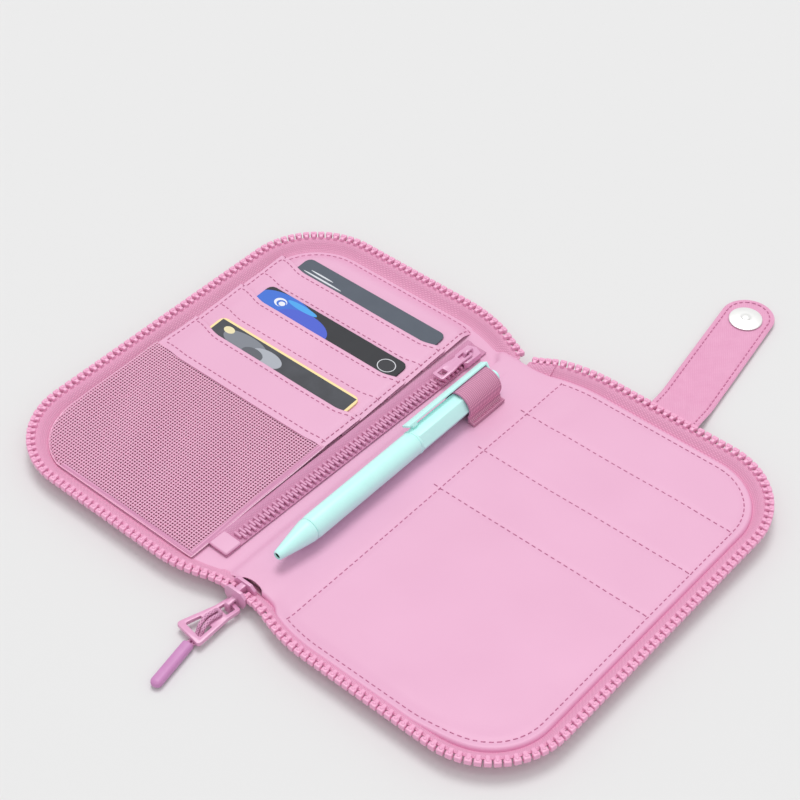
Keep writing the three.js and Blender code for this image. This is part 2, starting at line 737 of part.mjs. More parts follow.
addMesh("right_outer_cover", drawn(outerCover()), fabric);
const socketHole = Manifold.cylinder(4, snapRadius + 0.2, snapRadius + 0.2, 24).translate([socketX, socketY, -1]);
addMesh("left_outer_cover", drawn(mirrored(outerCover()).subtract(socketHole)), fabric);
addMesh("right_stiffener_board", drawn(plate(boardInset, boardZ, boardThick)), "#8f8a86");
addMesh("left_stiffener_board", drawn(mirrored(plate(boardInset, boardZ, boardThick))), "#8f8a86");
addMesh("right_pocket_backing", drawn(plate(backingInset, backingZ, backingThick)), lining);
addMesh("left_pocket_backing", drawn(mirrored(plate(backingInset, backingZ, backingThick))), lining);
addMesh("right_zip_tape", drawn(zipTape()), trim);
addMesh("left_zip_tape", drawn(mirrored(zipTape())), trim);
addMesh("right_zip_teeth", drawn(zipTeeth()), trim);
addMesh("left_zip_teeth", drawn(mirrored(zipTeeth())), trim);
addMesh("right_lining_panel", drawn(liningPanel()), lining, 0.45);
addMesh("left_lining", drawn(mirrored(plate(liningInset + 1.6, liningZ, liningThick))), lining, 0.45);

// Left half's pockets
addMesh("card_slot_panel", drawn(cardSlotPanel()), lining, 0.45);
["#5f6773", "#1c1e24", "#e8d79a"].forEach((colour, k) => {
  addMesh(["upper_card", "middle_card", "lower_card"][k], drawn(cardBlank(k, 0)), colour, 0.35);
});
addMesh("mesh_pocket", drawn(meshPocket()), "#dc9ac6", 0.8);
const innerTape = roundedBox(innerTapeLeft, innerTapeRight, chainBottomY - 11, chainTopY + 3, 0.6, 2);
addMesh("inner_zip_tape", drawn(placedChain(prism(innerTape, innerTapeZ, innerTapeZ + tapeThick))), trim);
addMesh("inner_zip_teeth", drawn(innerZipTeeth()), trim);
const endTab = roundedBox(innerTapeLeft + 0.4, innerTapeRight - 0.2, chainBottomY - 10.5, chainBottomY - 1.6, 1, 3);
addMesh("inner_zip_end_tab", drawn(placedChain(prism(endTab, chainZ, chainZ + 1.5))), lining);
addMesh("inner_slider", drawn(innerSlider()), trim, 0.4);
addMesh("inner_pull", drawn(innerPull()), trim, 0.4);
addMesh("snap_socket", drawn(snapSocket()), "#c9c9cc", 0.25, 1);

// Spine
addMesh("spine_outer_cover", drawn(spineCover()), fabric);
addMesh("spine_padding", drawn(spinePadding()), "#e9e3df");
addMesh("spine_lining", drawn(spineLining()), lining, 0.45);
addMesh("pen_loop", drawn(penLoop()), "#b06f97", 0.8);
addMesh("pen_tip", drawn(penTip()), mint, 0.35);
addMesh("pen_barrel", drawn(penBarrel()), mint, 0.35);
addMesh("pen_upper_body", drawn(penUpperBody()), mint, 0.35);
addMesh("pen_clip", drawn(penClip()), mint, 0.35);
addMesh("pen_button", drawn(penButton()), mint, 0.35);
addMesh("pen_refill", drawn(penRefill()), "#d8d8d8", 0.3);
addMesh("main_slider", drawn(mainSlider()), trim, 0.4);
const endY = sliderInnerY - sliderPlate - sliderGap / 2;
addMesh("lower_chain_end_left", drawn(chainEnd(-8.2, endY, sliderX - 1.7, endY)), trim);
addMesh("lower_chain_end_right", drawn(chainEnd(sliderX + 1.7, endY, 8.2, endY)), trim);
addMesh("upper_chain_end_left", drawn(chainEnd(0, spineTopY + 1.8, -8.2, spineTopY + 4.4)), trim);
addMesh("upper_chain_end_right", drawn(chainEnd(8.2, spineTopY + 3.1, 4.4, spineTopY + 1.4)), trim);
addMesh("pull_frame", drawn(pullFrame()), trim, 0.4);
addMesh("pull_cord", drawn(pullCord()), "#d9a0c6", 0.8);
addMesh("pull_grip", drawn(pullGrip()), "#cf86c0", 0.4);

// Strap
addMesh("closing_strap", drawn(closingStrap()), fabric);
addMesh("snap_stud", drawn(snapStud()), "#c9c9cc", 0.25, 1);

export default group;
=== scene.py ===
import math
import random

import bpy
import numpy as np
from mathutils import Matrix, Vector


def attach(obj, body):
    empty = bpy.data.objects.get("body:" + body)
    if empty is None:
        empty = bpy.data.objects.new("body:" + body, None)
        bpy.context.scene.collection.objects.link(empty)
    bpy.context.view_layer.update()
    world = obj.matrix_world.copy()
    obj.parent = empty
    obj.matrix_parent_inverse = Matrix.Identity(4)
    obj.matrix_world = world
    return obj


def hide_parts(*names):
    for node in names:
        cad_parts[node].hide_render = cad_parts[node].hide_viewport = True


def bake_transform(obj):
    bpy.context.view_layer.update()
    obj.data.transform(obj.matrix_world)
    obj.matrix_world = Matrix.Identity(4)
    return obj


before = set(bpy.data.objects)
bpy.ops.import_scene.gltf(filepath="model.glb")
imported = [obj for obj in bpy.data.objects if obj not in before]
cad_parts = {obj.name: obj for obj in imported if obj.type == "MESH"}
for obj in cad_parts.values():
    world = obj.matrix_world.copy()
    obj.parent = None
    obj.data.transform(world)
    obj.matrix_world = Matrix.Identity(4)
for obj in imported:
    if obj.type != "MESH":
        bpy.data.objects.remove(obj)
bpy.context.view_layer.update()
random.seed(7)

# All sizes below are in mm until a piece's mesh is scaled to metres
MM = 0.001

# Plan of one half, as in the solids: the row of teeth, its corners, and the waist beside the spine
ROW_X, ROW_Y, ROW_RADIUS = 141.3, 100.4, 36.0
CREASE = 15.65
PINCH_DEEP, PINCH_FROM, PINCH_FULL = 9.5, 42.0, 5.0
STITCH_INSET = 9.9
LINING_INSET = 6.3
LINING_END = 88.2
NOTCH_DEEP = 2.6
ROLL_WIDE = 1.5

# Heights
ROW_Z = 8.1
LINING_LOW = 3.9
PANEL_TOP = 6.1
SPINE_TOP = 6.0

# The body across each crease, and where the bend starts and ends there, in metres
COVER_BEND_RIGHT = ("right_half", (0.0125, 0, 0.001), (0.0185, 0, 0.001))
COVER_BEND_LEFT = ("spine", (-0.0185, 0, 0.001), (-0.0125, 0, 0.001))
LINING_BEND_RIGHT = ("right_half", (0.0113, 0, 0.004), (0.0195, 0, 0.004))
LINING_BEND_LEFT = ("spine", (-0.0155, 0, 0.004), (-0.0088, 0, 0.004))

# Right half
PANEL_SEAMS = [63, 33, 3.4]
PANEL_INNER = 23.3

# Left half
SLOT_RIGHT = -30.1
SLOT_MOUTHS = [67.9, 40.0, 9.9]
SLOT_SEAMS = [53.9, 24.6]
SLOT_HIGH = 7.62
SLOT_SLOPE = 0.0483
SLOT_INSET, NET_INSET = 7.9, 7.4
NET_TOP, NET_BOTTOM = -11.2, -92.2
NET_PITCH = 1.4
CARD_HALF, CARD_RIM = (42.8, 27.0), 1.3

# Teeth and stitches
TOOTH_PITCH = 3.6
STITCH_LONG, STITCH_RADIUS = 1.9, 0.24

# Inner zip
CHAIN_X, CHAIN_LEAN = -21.3, 1.1

# Pen and its loop
PEN_X, PEN_Z = 1.8, 13.45
LOOP_R, LOOP_THICK = 7.3, 0.8
LOOP_NEAR, LOOP_FAR = 41.0, 62.6
RIB_PITCH, RIB_DEEP = 0.98, 0.12

# Camera, from a fit to the photograph
CAMERA_TURN = (2.22053281, 0.8249166, -0.35452151)
CAMERA_SHIFT = (-2.82524122, 28.77154243, 827.29543095)
CAMERA_BASE = 6.0
FOCAL_PIXELS, FRAME_PIXELS, SENSOR = 1925.0, 800.0, 36.0


# Colour and nodes

def linear(code):
    """An sRGB hex colour as linear red, green, blue and alpha."""
    parts = [int(code[i:i + 2], 16) / 255 for i in (1, 3, 5)]
    return [c / 12.92 if c <= 0.04045 else ((c + 0.055) / 1.055) ** 2.4 for c in parts] + [1.0]


def add(tree, kind, links=None, **settings):
    """A node with its settings, and its inputs set or linked."""
    made = tree.nodes.new(kind)
    for key, value in settings.items():
        setattr(made, key, value)
    for key, value in (links or {}).items():
        if isinstance(value, bpy.types.NodeSocket):
            tree.links.new(value, made.inputs[key])
        else:
            made.inputs[key].default_value = value
    return made


def surface(name, colour, roughness, metallic=0.0, ior=1.5):
    material = bpy.data.materials.new(name)
    material.use_nodes = True
    tree = material.node_tree
    shader = tree.nodes["Principled BSDF"]
    shader.inputs["Base Color"].default_value = linear(colour)
    shader.inputs["Roughness"].default_value = roughness
    shader.inputs["Metallic"].default_value = metallic
    if not metallic:
        shader.inputs["IOR"].default_value = ior
    return material, tree, shader


def grain(tree, size, source, detail=2.0):
    """Noise whose lumps are about size mm across; the source is in metres."""
    links = {"Vector": source, "Scale": 1 / (size * MM), "Detail": detail}
    return add(tree, "ShaderNodeTexNoise", links)


def threads(tree, spacing, source, direction, unit=MM):
    """Bands with one thread per spacing mm, along the given direction."""
    scale = 2 * math.pi / 20 / (spacing * unit)
    return add(tree, "ShaderNodeTexWave", {"Vector": source, "Scale": scale, "Distortion": 0.0},
               wave_type="BANDS", bands_direction=direction)


def tint(tree, shader, share, low, high):
    """Colours the shader between two colours by a share."""
    mixed = add(tree, "ShaderNodeMix", {"Factor": share, "A": linear(low), "B": linear(high)},
                data_type="RGBA")
    tree.links.new(mixed.outputs["Result"], shader.inputs["Base Color"])
    return mixed


def relief(tree, shader, height, deep, strength=1.0, under=None):
    """Bump whose full depth is deep mm."""
    links = {"Height": height, "Distance": deep * MM, "Strength": strength}
    if under is not None:
        links["Normal"] = under
    bump = add(tree, "ShaderNodeBump", links)
    tree.links.new(bump.outputs["Normal"], shader.inputs["Normal"])
    return bump.outputs["Normal"]


def coated_cloth(name, light, dark):
    # Polyurethane-coated polyester: smooth with a soft gloss, faint pucker, and slow changes of tone
    material, tree, shader = surface(name, light, 0.46)
    place = add(tree, "ShaderNodeTexCoord").outputs["Object"]
    tint(tree, shader, grain(tree, 34, place, 1.0).outputs["Fac"], light, dark)
    slow = relief(tree, shader, grain(tree, 15, place, 1.5).outputs["Fac"], 0.45, 0.5)
    relief(tree, shader, grain(tree, 0.55, place, 3.0).outputs["Fac"], 0.03, 0.5, slow)
    return material


def woven_canvas(name, light, dark, spacing, turn=0.0):
    # Plain-woven polyester canvas: threads over and under at right angles, dull
    material, tree, shader = surface(name, light, 0.78)
    place = add(tree, "ShaderNodeTexCoord").outputs["Object"]
    turned = add(tree, "ShaderNodeMapping", {"Vector": place, "Rotation": (0, 0, turn)}).outputs["Vector"]
    warp = threads(tree, spacing, turned, "X").outputs["Fac"]
    weft = threads(tree, spacing, turned, "Y").outputs["Fac"]
    crossed = add(tree, "ShaderNodeMath", {0: warp, 1: weft}, operation="MULTIPLY").outputs[0]
    uneven = add(tree, "ShaderNodeMath", {0: crossed, 1: grain(tree, 6, place).outputs["Fac"]},
                 operation="ADD").outputs[0]
    level = add(tree, "ShaderNodeMath", {0: uneven, 1: 0.55}, operation="MULTIPLY", use_clamp=True)
    tint(tree, shader, level.outputs[0], dark, light)
    shader.inputs["Sheen Weight"].default_value = 0.25
    relief(tree, shader, crossed, 0.16, 0.8)
    return material


def woven_tape(name, light, dark, spacing):
    # Zip tape: polyester twill, its ribs slanting across the tape; drawn on the tape's own UV in mm
    material, tree, shader = surface(name, light, 0.75)
    own = add(tree, "ShaderNodeTexCoord").outputs["UV"]
    turned = add(tree, "ShaderNodeMapping", {"Vector": own, "Rotation": (0, 0, 0.9)}).outputs["Vector"]
    ribs = threads(tree, spacing, turned, "X", 1).outputs["Fac"]
    rows = threads(tree, spacing * 0.8, own, "Y", 1).outputs["Fac"]
    crossed = add(tree, "ShaderNodeMath", {0: ribs, 1: rows}, operation="MULTIPLY").outputs[0]
    tint(tree, shader, crossed, dark, light)
    relief(tree, shader, crossed, 0.15, 0.8)
    return material


def moulded(name, light, dark, roughness):
    # Injection-moulded plastic: even colour with a faint orange-peel skin
    material, tree, shader = surface(name, light, roughness, ior=1.46)
    place = add(tree, "ShaderNodeTexCoord").outputs["Object"]
    tint(tree, shader, grain(tree, 4.0, place).outputs["Fac"], dark, light)
    relief(tree, shader, grain(tree, 0.4, place).outputs["Fac"], 0.02, 0.5)
    return material


def painted_zinc(name, light, dark):
    # Die-cast zinc under baked enamel: glossy colour that thins a little at the edges
    material, tree, shader = surface(name, light, 0.33)
    place = add(tree, "ShaderNodeTexCoord").outputs["Object"]
    tint(tree, shader, grain(tree, 3, place).outputs["Fac"], dark, light)
    relief(tree, shader, grain(tree, 0.6, place).outputs["Fac"], 0.02, 0.4)
    shader.inputs["Coat Weight"].default_value = 0.35
    shader.inputs["Coat Roughness"].default_value = 0.2
    return material


def spun_thread(name, light, dark, spacing):
    # Twisted polyester yarn: plies slanting round the thread
    material, tree, shader = surface(name, light, 0.7)
    place = add(tree, "ShaderNodeTexCoord").outputs["Object"]
    turned = add(tree, "ShaderNodeMapping", {"Vector": place, "Rotation": (0.4, 0.3, 0.7)}).outputs["Vector"]
    ply = threads(tree, spacing, turned, "X").outputs["Fac"]
    tint(tree, shader, ply, dark, light)
    relief(tree, shader, ply, 0.06, 0.7)
    return material


def ribbed_elastic(name, light, dark, spacing):
    # Woven elastic webbing: round ribs across it, each wrapped in fine yarn
    material, tree, shader = surface(name, light, 0.75)
    place = add(tree, "ShaderNodeTexCoord").outputs["Object"]
    rib = threads(tree, spacing, place, "Y").outputs["Fac"]
    yarn = threads(tree, 0.45, place, "X").outputs["Fac"]
    crossed = add(tree, "ShaderNodeMath", {0: rib, 1: yarn, 2: 0.2}, operation="MULTIPLY_ADD").outputs[0]
    tint(tree, shader, crossed, dark, light)
    relief(tree, shader, yarn, 0.05, 0.5)
    return material


def braided(name, light, dark, spacing):
    # Braided polyester cord: strands crossing at a slant, dark where they dive; on the cord's own UV in mm
    material, tree, shader = surface(name, light, 0.72)
    own = add(tree, "ShaderNodeTexCoord").outputs["UV"]
    one = add(tree, "ShaderNodeMapping", {"Vector": own, "Rotation": (0, 0, 0.8)}).outputs["Vector"]
    two = add(tree, "ShaderNodeMapping", {"Vector": own, "Rotation": (0, 0, -0.8)}).outputs["Vector"]
    over = threads(tree, spacing, one, "X", 1).outputs["Fac"]
    across = threads(tree, spacing, two, "X", 1).outputs["Fac"]
    crossed = add(tree, "ShaderNodeMath", {0: over, 1: across}, operation="MAXIMUM").outputs[0]
    tint(tree, shader, crossed, dark, light)
    relief(tree, shader, crossed, 0.18, 0.8)
    return material


def plated(name, colour, roughness):
    # Brass, drawn or nickel-plated, and barrel-polished: bright with the finest scratches
    material, tree, shader = surface(name, colour, roughness, 1.0)
    place = add(tree, "ShaderNodeTexCoord").outputs["Object"]
    tint(tree, shader, grain(tree, 2.5, place).outputs["Fac"], "#E4E4E2", colour)
    relief(tree, shader, grain(tree, 0.3, place).outputs["Fac"], 0.008, 0.4)
    return material


def fibre_board(name, light, dark):
    # Pressed grey board and foam: specks of fibre
    material, tree, shader = surface(name, light, 0.9)
    place = add(tree, "ShaderNodeTexCoord").outputs["Object"]
    speck = grain(tree, 1.2, place, 4.0).outputs["Fac"]
    tint(tree, shader, speck, dark, light)
    relief(tree, shader, speck, 0.08, 0.6)
    return material


def printed_card(name, light, dark, centre, shapes=(), rim=None):
    # Laminated PVC card: satin film over print. Shapes are ellipses (x, y, wide, high, turn, colour) in mm
    # from the card's centre
    material, tree, shader = surface(name, light, 0.5)
    shader.inputs["Specular IOR Level"].default_value = 0.3
    place = add(tree, "ShaderNodeTexCoord").outputs["Object"]
    speck = grain(tree, 7, place, 3.0).outputs["Fac"]
    paint = tint(tree, shader, speck, light, dark).outputs["Result"]

    def within(x, y, wide, high, turn):
        moved = add(tree, "ShaderNodeMapping", {
            "Vector": place, "Location": (-(centre[0] + x) * MM, -(centre[1] + y) * MM, 0)}).outputs["Vector"]
        turned = add(tree, "ShaderNodeMapping", {
            "Vector": moved, "Rotation": (0, 0, turn),
            "Scale": (1 / (wide * MM), 1 / (high * MM), 0)}).outputs["Vector"]
        far = add(tree, "ShaderNodeVectorMath", {0: turned}, operation="LENGTH").outputs["Value"]
        return add(tree, "ShaderNodeMath", {0: far, 1: 1.0}, operation="LESS_THAN").outputs[0]

    for x, y, wide, high, turn, colour in shapes:
        mixed = add(tree, "ShaderNodeMix", {"Factor": within(x, y, wide, high, turn), "A": paint,
                                            "B": linear(colour)}, data_type="RGBA")
        paint = mixed.outputs["Result"]
    if rim:
        parts = add(tree, "ShaderNodeSeparateXYZ", {"Vector": place})
        past = []
        for axis, middle, half in zip("XY", centre, CARD_HALF):
            off = add(tree, "ShaderNodeMath", {0: parts.outputs[axis], 1: middle * MM}, operation="SUBTRACT")
            size = add(tree, "ShaderNodeMath", {0: off.outputs[0]}, operation="ABSOLUTE")
            past.append(add(tree, "ShaderNodeMath", {0: size.outputs[0], 1: (half - CARD_RIM) * MM},
                            operation="GREATER_THAN").outputs[0])
        outside = add(tree, "ShaderNodeMath", {0: past[0], 1: past[1]}, operation="MAXIMUM").outputs[0]
        mixed = add(tree, "ShaderNodeMix", {"Factor": outside, "A": paint, "B": linear(rim)},
                    data_type="RGBA")
        paint = mixed.outputs["Result"]
    tree.links.new(paint, shader.inputs["Base Color"])
    relief(tree, shader, grain(tree, 0.5, place).outputs["Fac"], 0.01, 0.3)
    return material


LINING = coated_cloth("coated_polyester_lining", "#E7AFCE", "#E0A7C6")
CANVAS = woven_canvas("woven_polyester_canvas", "#EBA9CB", "#C8829F", 0.9)
STRAP_CANVAS = woven_canvas("woven_polyester_strap_face", "#EFB0D0", "#E096BC", 0.95, -0.62)
TAPE = woven_tape("twill_zip_tape", "#FABAD7", "#DE97BA", 1.0)
INNER_TAPE = woven_tape("twill_inner_zip_tape", "#E8A9CA", "#C987AB", 0.8)
TEETH = moulded("moulded_acetal_zip_teeth", "#F5B1D2", "#ECA4C8", 0.33)
COIL = moulded("moulded_inner_zip_teeth", "#E3A5C7", "#D592B6", 0.38)
ZINC = painted_zinc("enamelled_zinc_slider", "#E3A3C7", "#D998BF")
THREAD = spun_thread("twisted_polyester_thread", "#CE7FA5", "#AE5F86", 0.5)
PALE_THREAD = spun_thread("twisted_polyester_pale_thread", "#D27FA8", "#B9658F", 0.5)
CORD = braided("braided_polyester_cord", "#E5AACD", "#9E5C82", 0.9)
GRIP = moulded("soft_moulded_vinyl_grip", "#CC8CC0", "#C382B7", 0.4)
NET = spun_thread("knitted_polyester_net", "#FFD2E8", "#F3BCD9", 0.7)
ELASTIC = ribbed_elastic("ribbed_woven_elastic", "#F0ADCB", "#A9698B", RIB_PITCH)
MINT = moulded("moulded_mint_abs", "#CBFFFA", "#C4FAF4", 0.34)
# Dark green for the inside of the pen's mouth: painted shade in the bore
MINT_BORE_SHADE = moulded("moulded_mint_abs_painted_bore_shade", "#175A50", "#114A42", 0.6)
REFILL = plated("drawn_brass_refill", "#D8D2C4", 0.35)
STEEL = plated("nickel_plated_snap", "#E9E9E8", 0.32)
BOARD = fibre_board("pressed_grey_board", "#9A948E", "#7F7973")
FOAM = fibre_board("cut_polyurethane_foam", "#EDE6E1", "#D9D0CA")
# Pocket back in a darkened pink: painted shade, seen through the holes of the net above it
NET_BACK_SHADE = woven_canvas("woven_polyester_pocket_back_painted_shade", "#CB86A6", "#B87495", 0.6)
BACKING = woven_canvas("woven_polyester_backing", "#EFB5D6", "#DD9CC2", 0.6)


# Modelling helpers

def deselect():
    if bpy.context.object and bpy.context.object.mode != "OBJECT":
        bpy.ops.object.mode_set(mode="OBJECT")
    bpy.ops.object.select_all(action="DESELECT")


def pick(thing):
    deselect()
    thing.select_set(True)
    bpy.context.view_layer.objects.active = thing


def edit(thing):
    pick(thing)
    bpy.ops.object.mode_set(mode="EDIT")
    bpy.ops.mesh.select_all(action="SELECT")


def object_mode():
    bpy.ops.object.mode_set(mode="OBJECT")


def apply(thing, kind, **settings):
    pick(thing)
    modifier = thing.modifiers.new(kind.lower(), kind)
    for key, value in settings.items():
        setattr(modifier, key, value)
    bpy.ops.object.modifier_apply(modifier=modifier.name)


def settle(thing, name, material, slot, body, replaces=(), smooth=40, bend=None):
    """Names a finished piece, gives it its finish, and joins it to what moves it; a piece given a bend keeps
    its place baked into its mesh and is joined to nothing.
    """
    thing.name = name
    thing.data.name = name
    thing.data.materials.clear()
    thing.data.materials.append(material)
    pick(thing)
    bpy.ops.object.transform_apply(location=True, rotation=True, scale=True)
    bpy.ops.object.shade_smooth_by_angle(angle=math.radians(smooth))
    if bend:
        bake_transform(thing)
    else:
        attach(thing, body)
    if replaces:
        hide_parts(*replaces)
    return thing


def evenly(count):
    return list(np.linspace(0, 1, count))


def cloth(across, along, place, thick=0.0, flip=False, uv=None):
    """A grid primitive whose points are laid by place(u, v), in mm; u and v follow the given stations."""
    deselect()
    bpy.ops.mesh.primitive_grid_add(x_subdivisions=len(across) - 1, y_subdivisions=len(along) - 1, size=1)
    thing = bpy.context.object
    mesh = thing.data
    flat = np.zeros(len(mesh.vertices) * 3)
    mesh.vertices.foreach_get("co", flat)
    flat = flat.reshape(-1, 3) + 0.5
    us = np.interp(flat[:, 0], np.linspace(0, 1, len(across)), across)
    vs = np.interp(flat[:, 1], np.linspace(0, 1, len(along)), along)
    laid = np.array([place(u, v) for u, v in zip(us, vs)]) * MM
    mesh.vertices.foreach_set("co", laid.ravel())
    if uv:
        layer = mesh.uv_layers.active.data
        own = np.zeros(len(layer) * 2)
        layer.foreach_get("uv", own)
        own = own.reshape(-1, 2) * np.array(uv)
        layer.foreach_set("uv", own.ravel())
    mesh.update()
    if flip:
        edit(thing)
        bpy.ops.mesh.flip_normals()
        object_mode()
    if thick:
        apply(thing, "SOLIDIFY", thickness=thick * MM, offset=-1.0, use_even_offset=False)
    return thing


def tidy_mesh(thing, near=0.002):
    """Merges doubles, drops what has no face, and turns the faces outward."""
    edit(thing)
    bpy.ops.mesh.remove_doubles(threshold=near * MM)
    bpy.ops.mesh.delete_loose()
    bpy.ops.mesh.select_all(action="SELECT")
    bpy.ops.mesh.normals_make_consistent(inside=False)
    object_mode()


def dressed(node, name, material, slot, body, width, segments, smooth=40):
    """A solid's own shape, merged and with its edges rounded, in place of the plain one."""
    thing = bpy.data.objects.new(name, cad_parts[node].data.copy())
    bpy.context.scene.collection.objects.link(thing)
    edit(thing)
    bpy.ops.mesh.remove_doubles(threshold=0.0001 * MM)
    bpy.ops.mesh.dissolve_limited(angle_limit=math.radians(0.6))
    object_mode()
    apply(thing, "BEVEL", width=width * MM, segments=segments, limit_method="ANGLE",
          angle_limit=math.radians(32), use_clamp_overlap=True)
    return settle(thing, name, material, slot, body, (node,), smooth)


def turned(profile, vertices=56):
    """A shape turned on a lathe along +Y, from (radius, y) points, closed at both ends."""
    deselect()
    radius, y = profile[0]
    bpy.ops.mesh.primitive_circle_add(vertices=vertices, radius=radius * MM, location=(0, y * MM, 0),
                                      rotation=(math.radians(90), 0, 0), fill_type="NGON")
    thing = bpy.context.object
    bpy.ops.object.transform_apply(location=True, rotation=True, scale=True)
    edit(thing)
    for wide, far in profile[1:]:
        bpy.ops.mesh.extrude_region_move(TRANSFORM_OT_translate={"value": (0, (far - y) * MM, 0)})
        share = wide / radius
        bpy.ops.transform.resize(value=(share, 1, share), center_override=(0, far * MM, 0))
        radius, y = wide, far
    bpy.ops.mesh.select_all(action="SELECT")
    bpy.ops.mesh.normals_make_consistent(inside=False)
    object_mode()
    return thing


def rod(radius, long, middle, vertices, ends="NGON"):
    """A round or many-sided bar along Y, or a sleeve with open ends."""
    deselect()
    bpy.ops.mesh.primitive_cylinder_add(vertices=vertices, radius=radius * MM, depth=long * MM,
                                        end_fill_type=ends, location=(0, middle * MM, 0),
                                        rotation=(math.radians(90), 0, 0))
    thing = bpy.context.object
    bpy.ops.object.transform_apply(location=True, rotation=True, scale=True)
    return thing


def block(low, high, width, segments):
    """A cube added at its size and place, with its edges bevelled."""
    deselect()
    middle = [(a + b) / 2 * MM for a, b in zip(low, high)]
    bpy.ops.mesh.primitive_cube_add(size=1, location=middle)
    thing = bpy.context.object
    thing.scale = [(b - a) * MM for a, b in zip(low, high)]
    bpy.ops.object.transform_apply(location=True, rotation=True, scale=True)
    apply(thing, "BEVEL", width=width * MM, segments=segments, limit_method="NONE")
    return thing


def move(thing, matrix):
    thing.data.transform(matrix)
    return thing


def join(things):
    deselect()
    for thing in things:
        thing.select_set(True)
    bpy.context.view_layer.objects.active = things[0]
    bpy.ops.object.join()
    return bpy.context.object


def copies(template, matrices):
    """One object of many copies of a shape, each from its own mesh."""
    made = []
    for matrix in matrices:
        mesh = template.data.copy()
        mesh.transform(matrix)
        other = bpy.data.objects.new("copy", mesh)
        bpy.context.scene.collection.objects.link(other)
        made.append(other)
    return join(made)


def drop(thing):
    bpy.data.objects.remove(thing)


def finish(node, material):
    """Gives its finish to a solid that keeps its own shape."""
    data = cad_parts[node].data
    data.materials.clear()
    data.materials.append(material)


def smoothstep(t):
    t = min(1.0, max(0.0, t))
    return t * t * (3 - 2 * t)


# The plan of a half

def pinch(x):
    t = min(1.0, max(0.0, (PINCH_FROM - x) / (PINCH_FROM - PINCH_FULL)))
    return PINCH_DEEP * t * t


def inset_of(x, y):
    """How far a point of the right half lies inside the edge."""
    if x > ROW_X - ROW_RADIUS and abs(y) > ROW_Y - ROW_RADIUS:
        return ROW_RADIUS - math.hypot(x - ROW_X + ROW_RADIUS, abs(y) - ROW_Y + ROW_RADIUS)
    return min(ROW_X - x, ROW_Y - pinch(x) - abs(y))


def rim(inset, start=CREASE):
    """Points of the open edge, from the lower crease round to the upper one."""
    waist, straight, arc, side = 16, 14, 22, 26
    lower = [start + t * (PINCH_FROM - start) for t in np.linspace(0, 1, waist)]
    lower += list(np.linspace(PINCH_FROM, ROW_X - ROW_RADIUS, straight)[1:])
    half = [(x, -(ROW_Y - inset - pinch(x))) for x in lower]
    r = ROW_RADIUS - inset
    for i in range(1, arc + 1):
        a = math.radians(-90 + 90 * i / arc)
        half.append((ROW_X - ROW_RADIUS + r * math.cos(a), -(ROW_Y - ROW_RADIUS) + r * math.sin(a)))
    straight_half = ROW_Y - ROW_RADIUS
    middle = [(ROW_X - inset, y) for y in np.linspace(-straight_half, straight_half, side)[1:-1]]
    return np.array(half + middle + [(x, -y) for x, y in reversed(half)])


def along_path(path, pitch, last=0.0):
    """Stations at an even pitch: point and direction; the last mm of the path stay bare."""
    steps = np.hypot(*np.diff(path[:, :2], axis=0).T)
    far = np.concatenate([[0], np.cumsum(steps)])
    count = max(1, int(round((far[-1] - last) / pitch)))
    places = (far[-1] - last) * (np.arange(count) + 0.5) / count
    out = []
    for s in places:
        i = min(len(steps) - 1, int(np.searchsorted(far, s, side="right")) - 1)
        t = (s - far[i]) / steps[i]
        out.append((path[i] + t * (path[i + 1] - path[i]), (path[i + 1] - path[i]) / steps[i]))
    return out


# The stitch and the tooth are modelled once

def stitch_shape():
    deselect()
    bpy.ops.mesh.primitive_cylinder_add(vertices=8, radius=STITCH_RADIUS * MM, depth=STITCH_LONG * MM,
                                        rotation=(0, math.radians(90), 0))
    thing = bpy.context.object
    bpy.ops.object.transform_apply(location=True, rotation=True, scale=True)
    apply(thing, "BEVEL", width=0.12 * MM, segments=1, limit_method="ANGLE", angle_limit=math.radians(60))
    return thing


def tooth_shape():
    """A neck that widens into a rounded head, with a small boss on top; X along the row, Y outward."""
    deselect()
    bpy.ops.mesh.primitive_cube_add(size=1, location=(0, -0.7 * MM, 0))
    thing = bpy.context.object
    thing.scale = (1.8 * MM, 1.8 * MM, 2.5 * MM)
    bpy.ops.object.transform_apply(location=True, rotation=True, scale=True)
    edit(thing)
    bpy.ops.mesh.select_mode(type="FACE")
    bpy.ops.mesh.select_all(action="DESELECT")
    object_mode()
    for face in thing.data.polygons:
        face.select = face.normal.y > 0.9
    bpy.ops.object.mode_set(mode="EDIT")
    bpy.ops.mesh.extrude_region_move(TRANSFORM_OT_translate={"value": (0, 0.3 * MM, 0)})
    bpy.ops.transform.resize(value=(1.72, 1, 1.1))
    bpy.ops.mesh.extrude_region_move(TRANSFORM_OT_translate={"value": (0, 1.85 * MM, 0)})
    bpy.ops.transform.resize(value=(0.94, 1, 0.94))
    object_mode()
    apply(thing, "BEVEL", width=0.5 * MM, segments=2, limit_method="ANGLE", angle_limit=math.radians(30))
    deselect()
    bpy.ops.mesh.primitive_cylinder_add(vertices=10, radius=0.72 * MM, depth=0.9 * MM,
                                        location=(0, 0.85 * MM, 1.2 * MM))
    boss = bpy.context.object
    bpy.ops.object.transform_apply(location=True, rotation=True, scale=True)
    apply(boss, "BEVEL", width=0.22 * MM, segments=1, limit_method="ANGLE", angle_limit=math.radians(60))
    return join([thing, boss])


STITCH = stitch_shape()
TOOTH = tooth_shape()


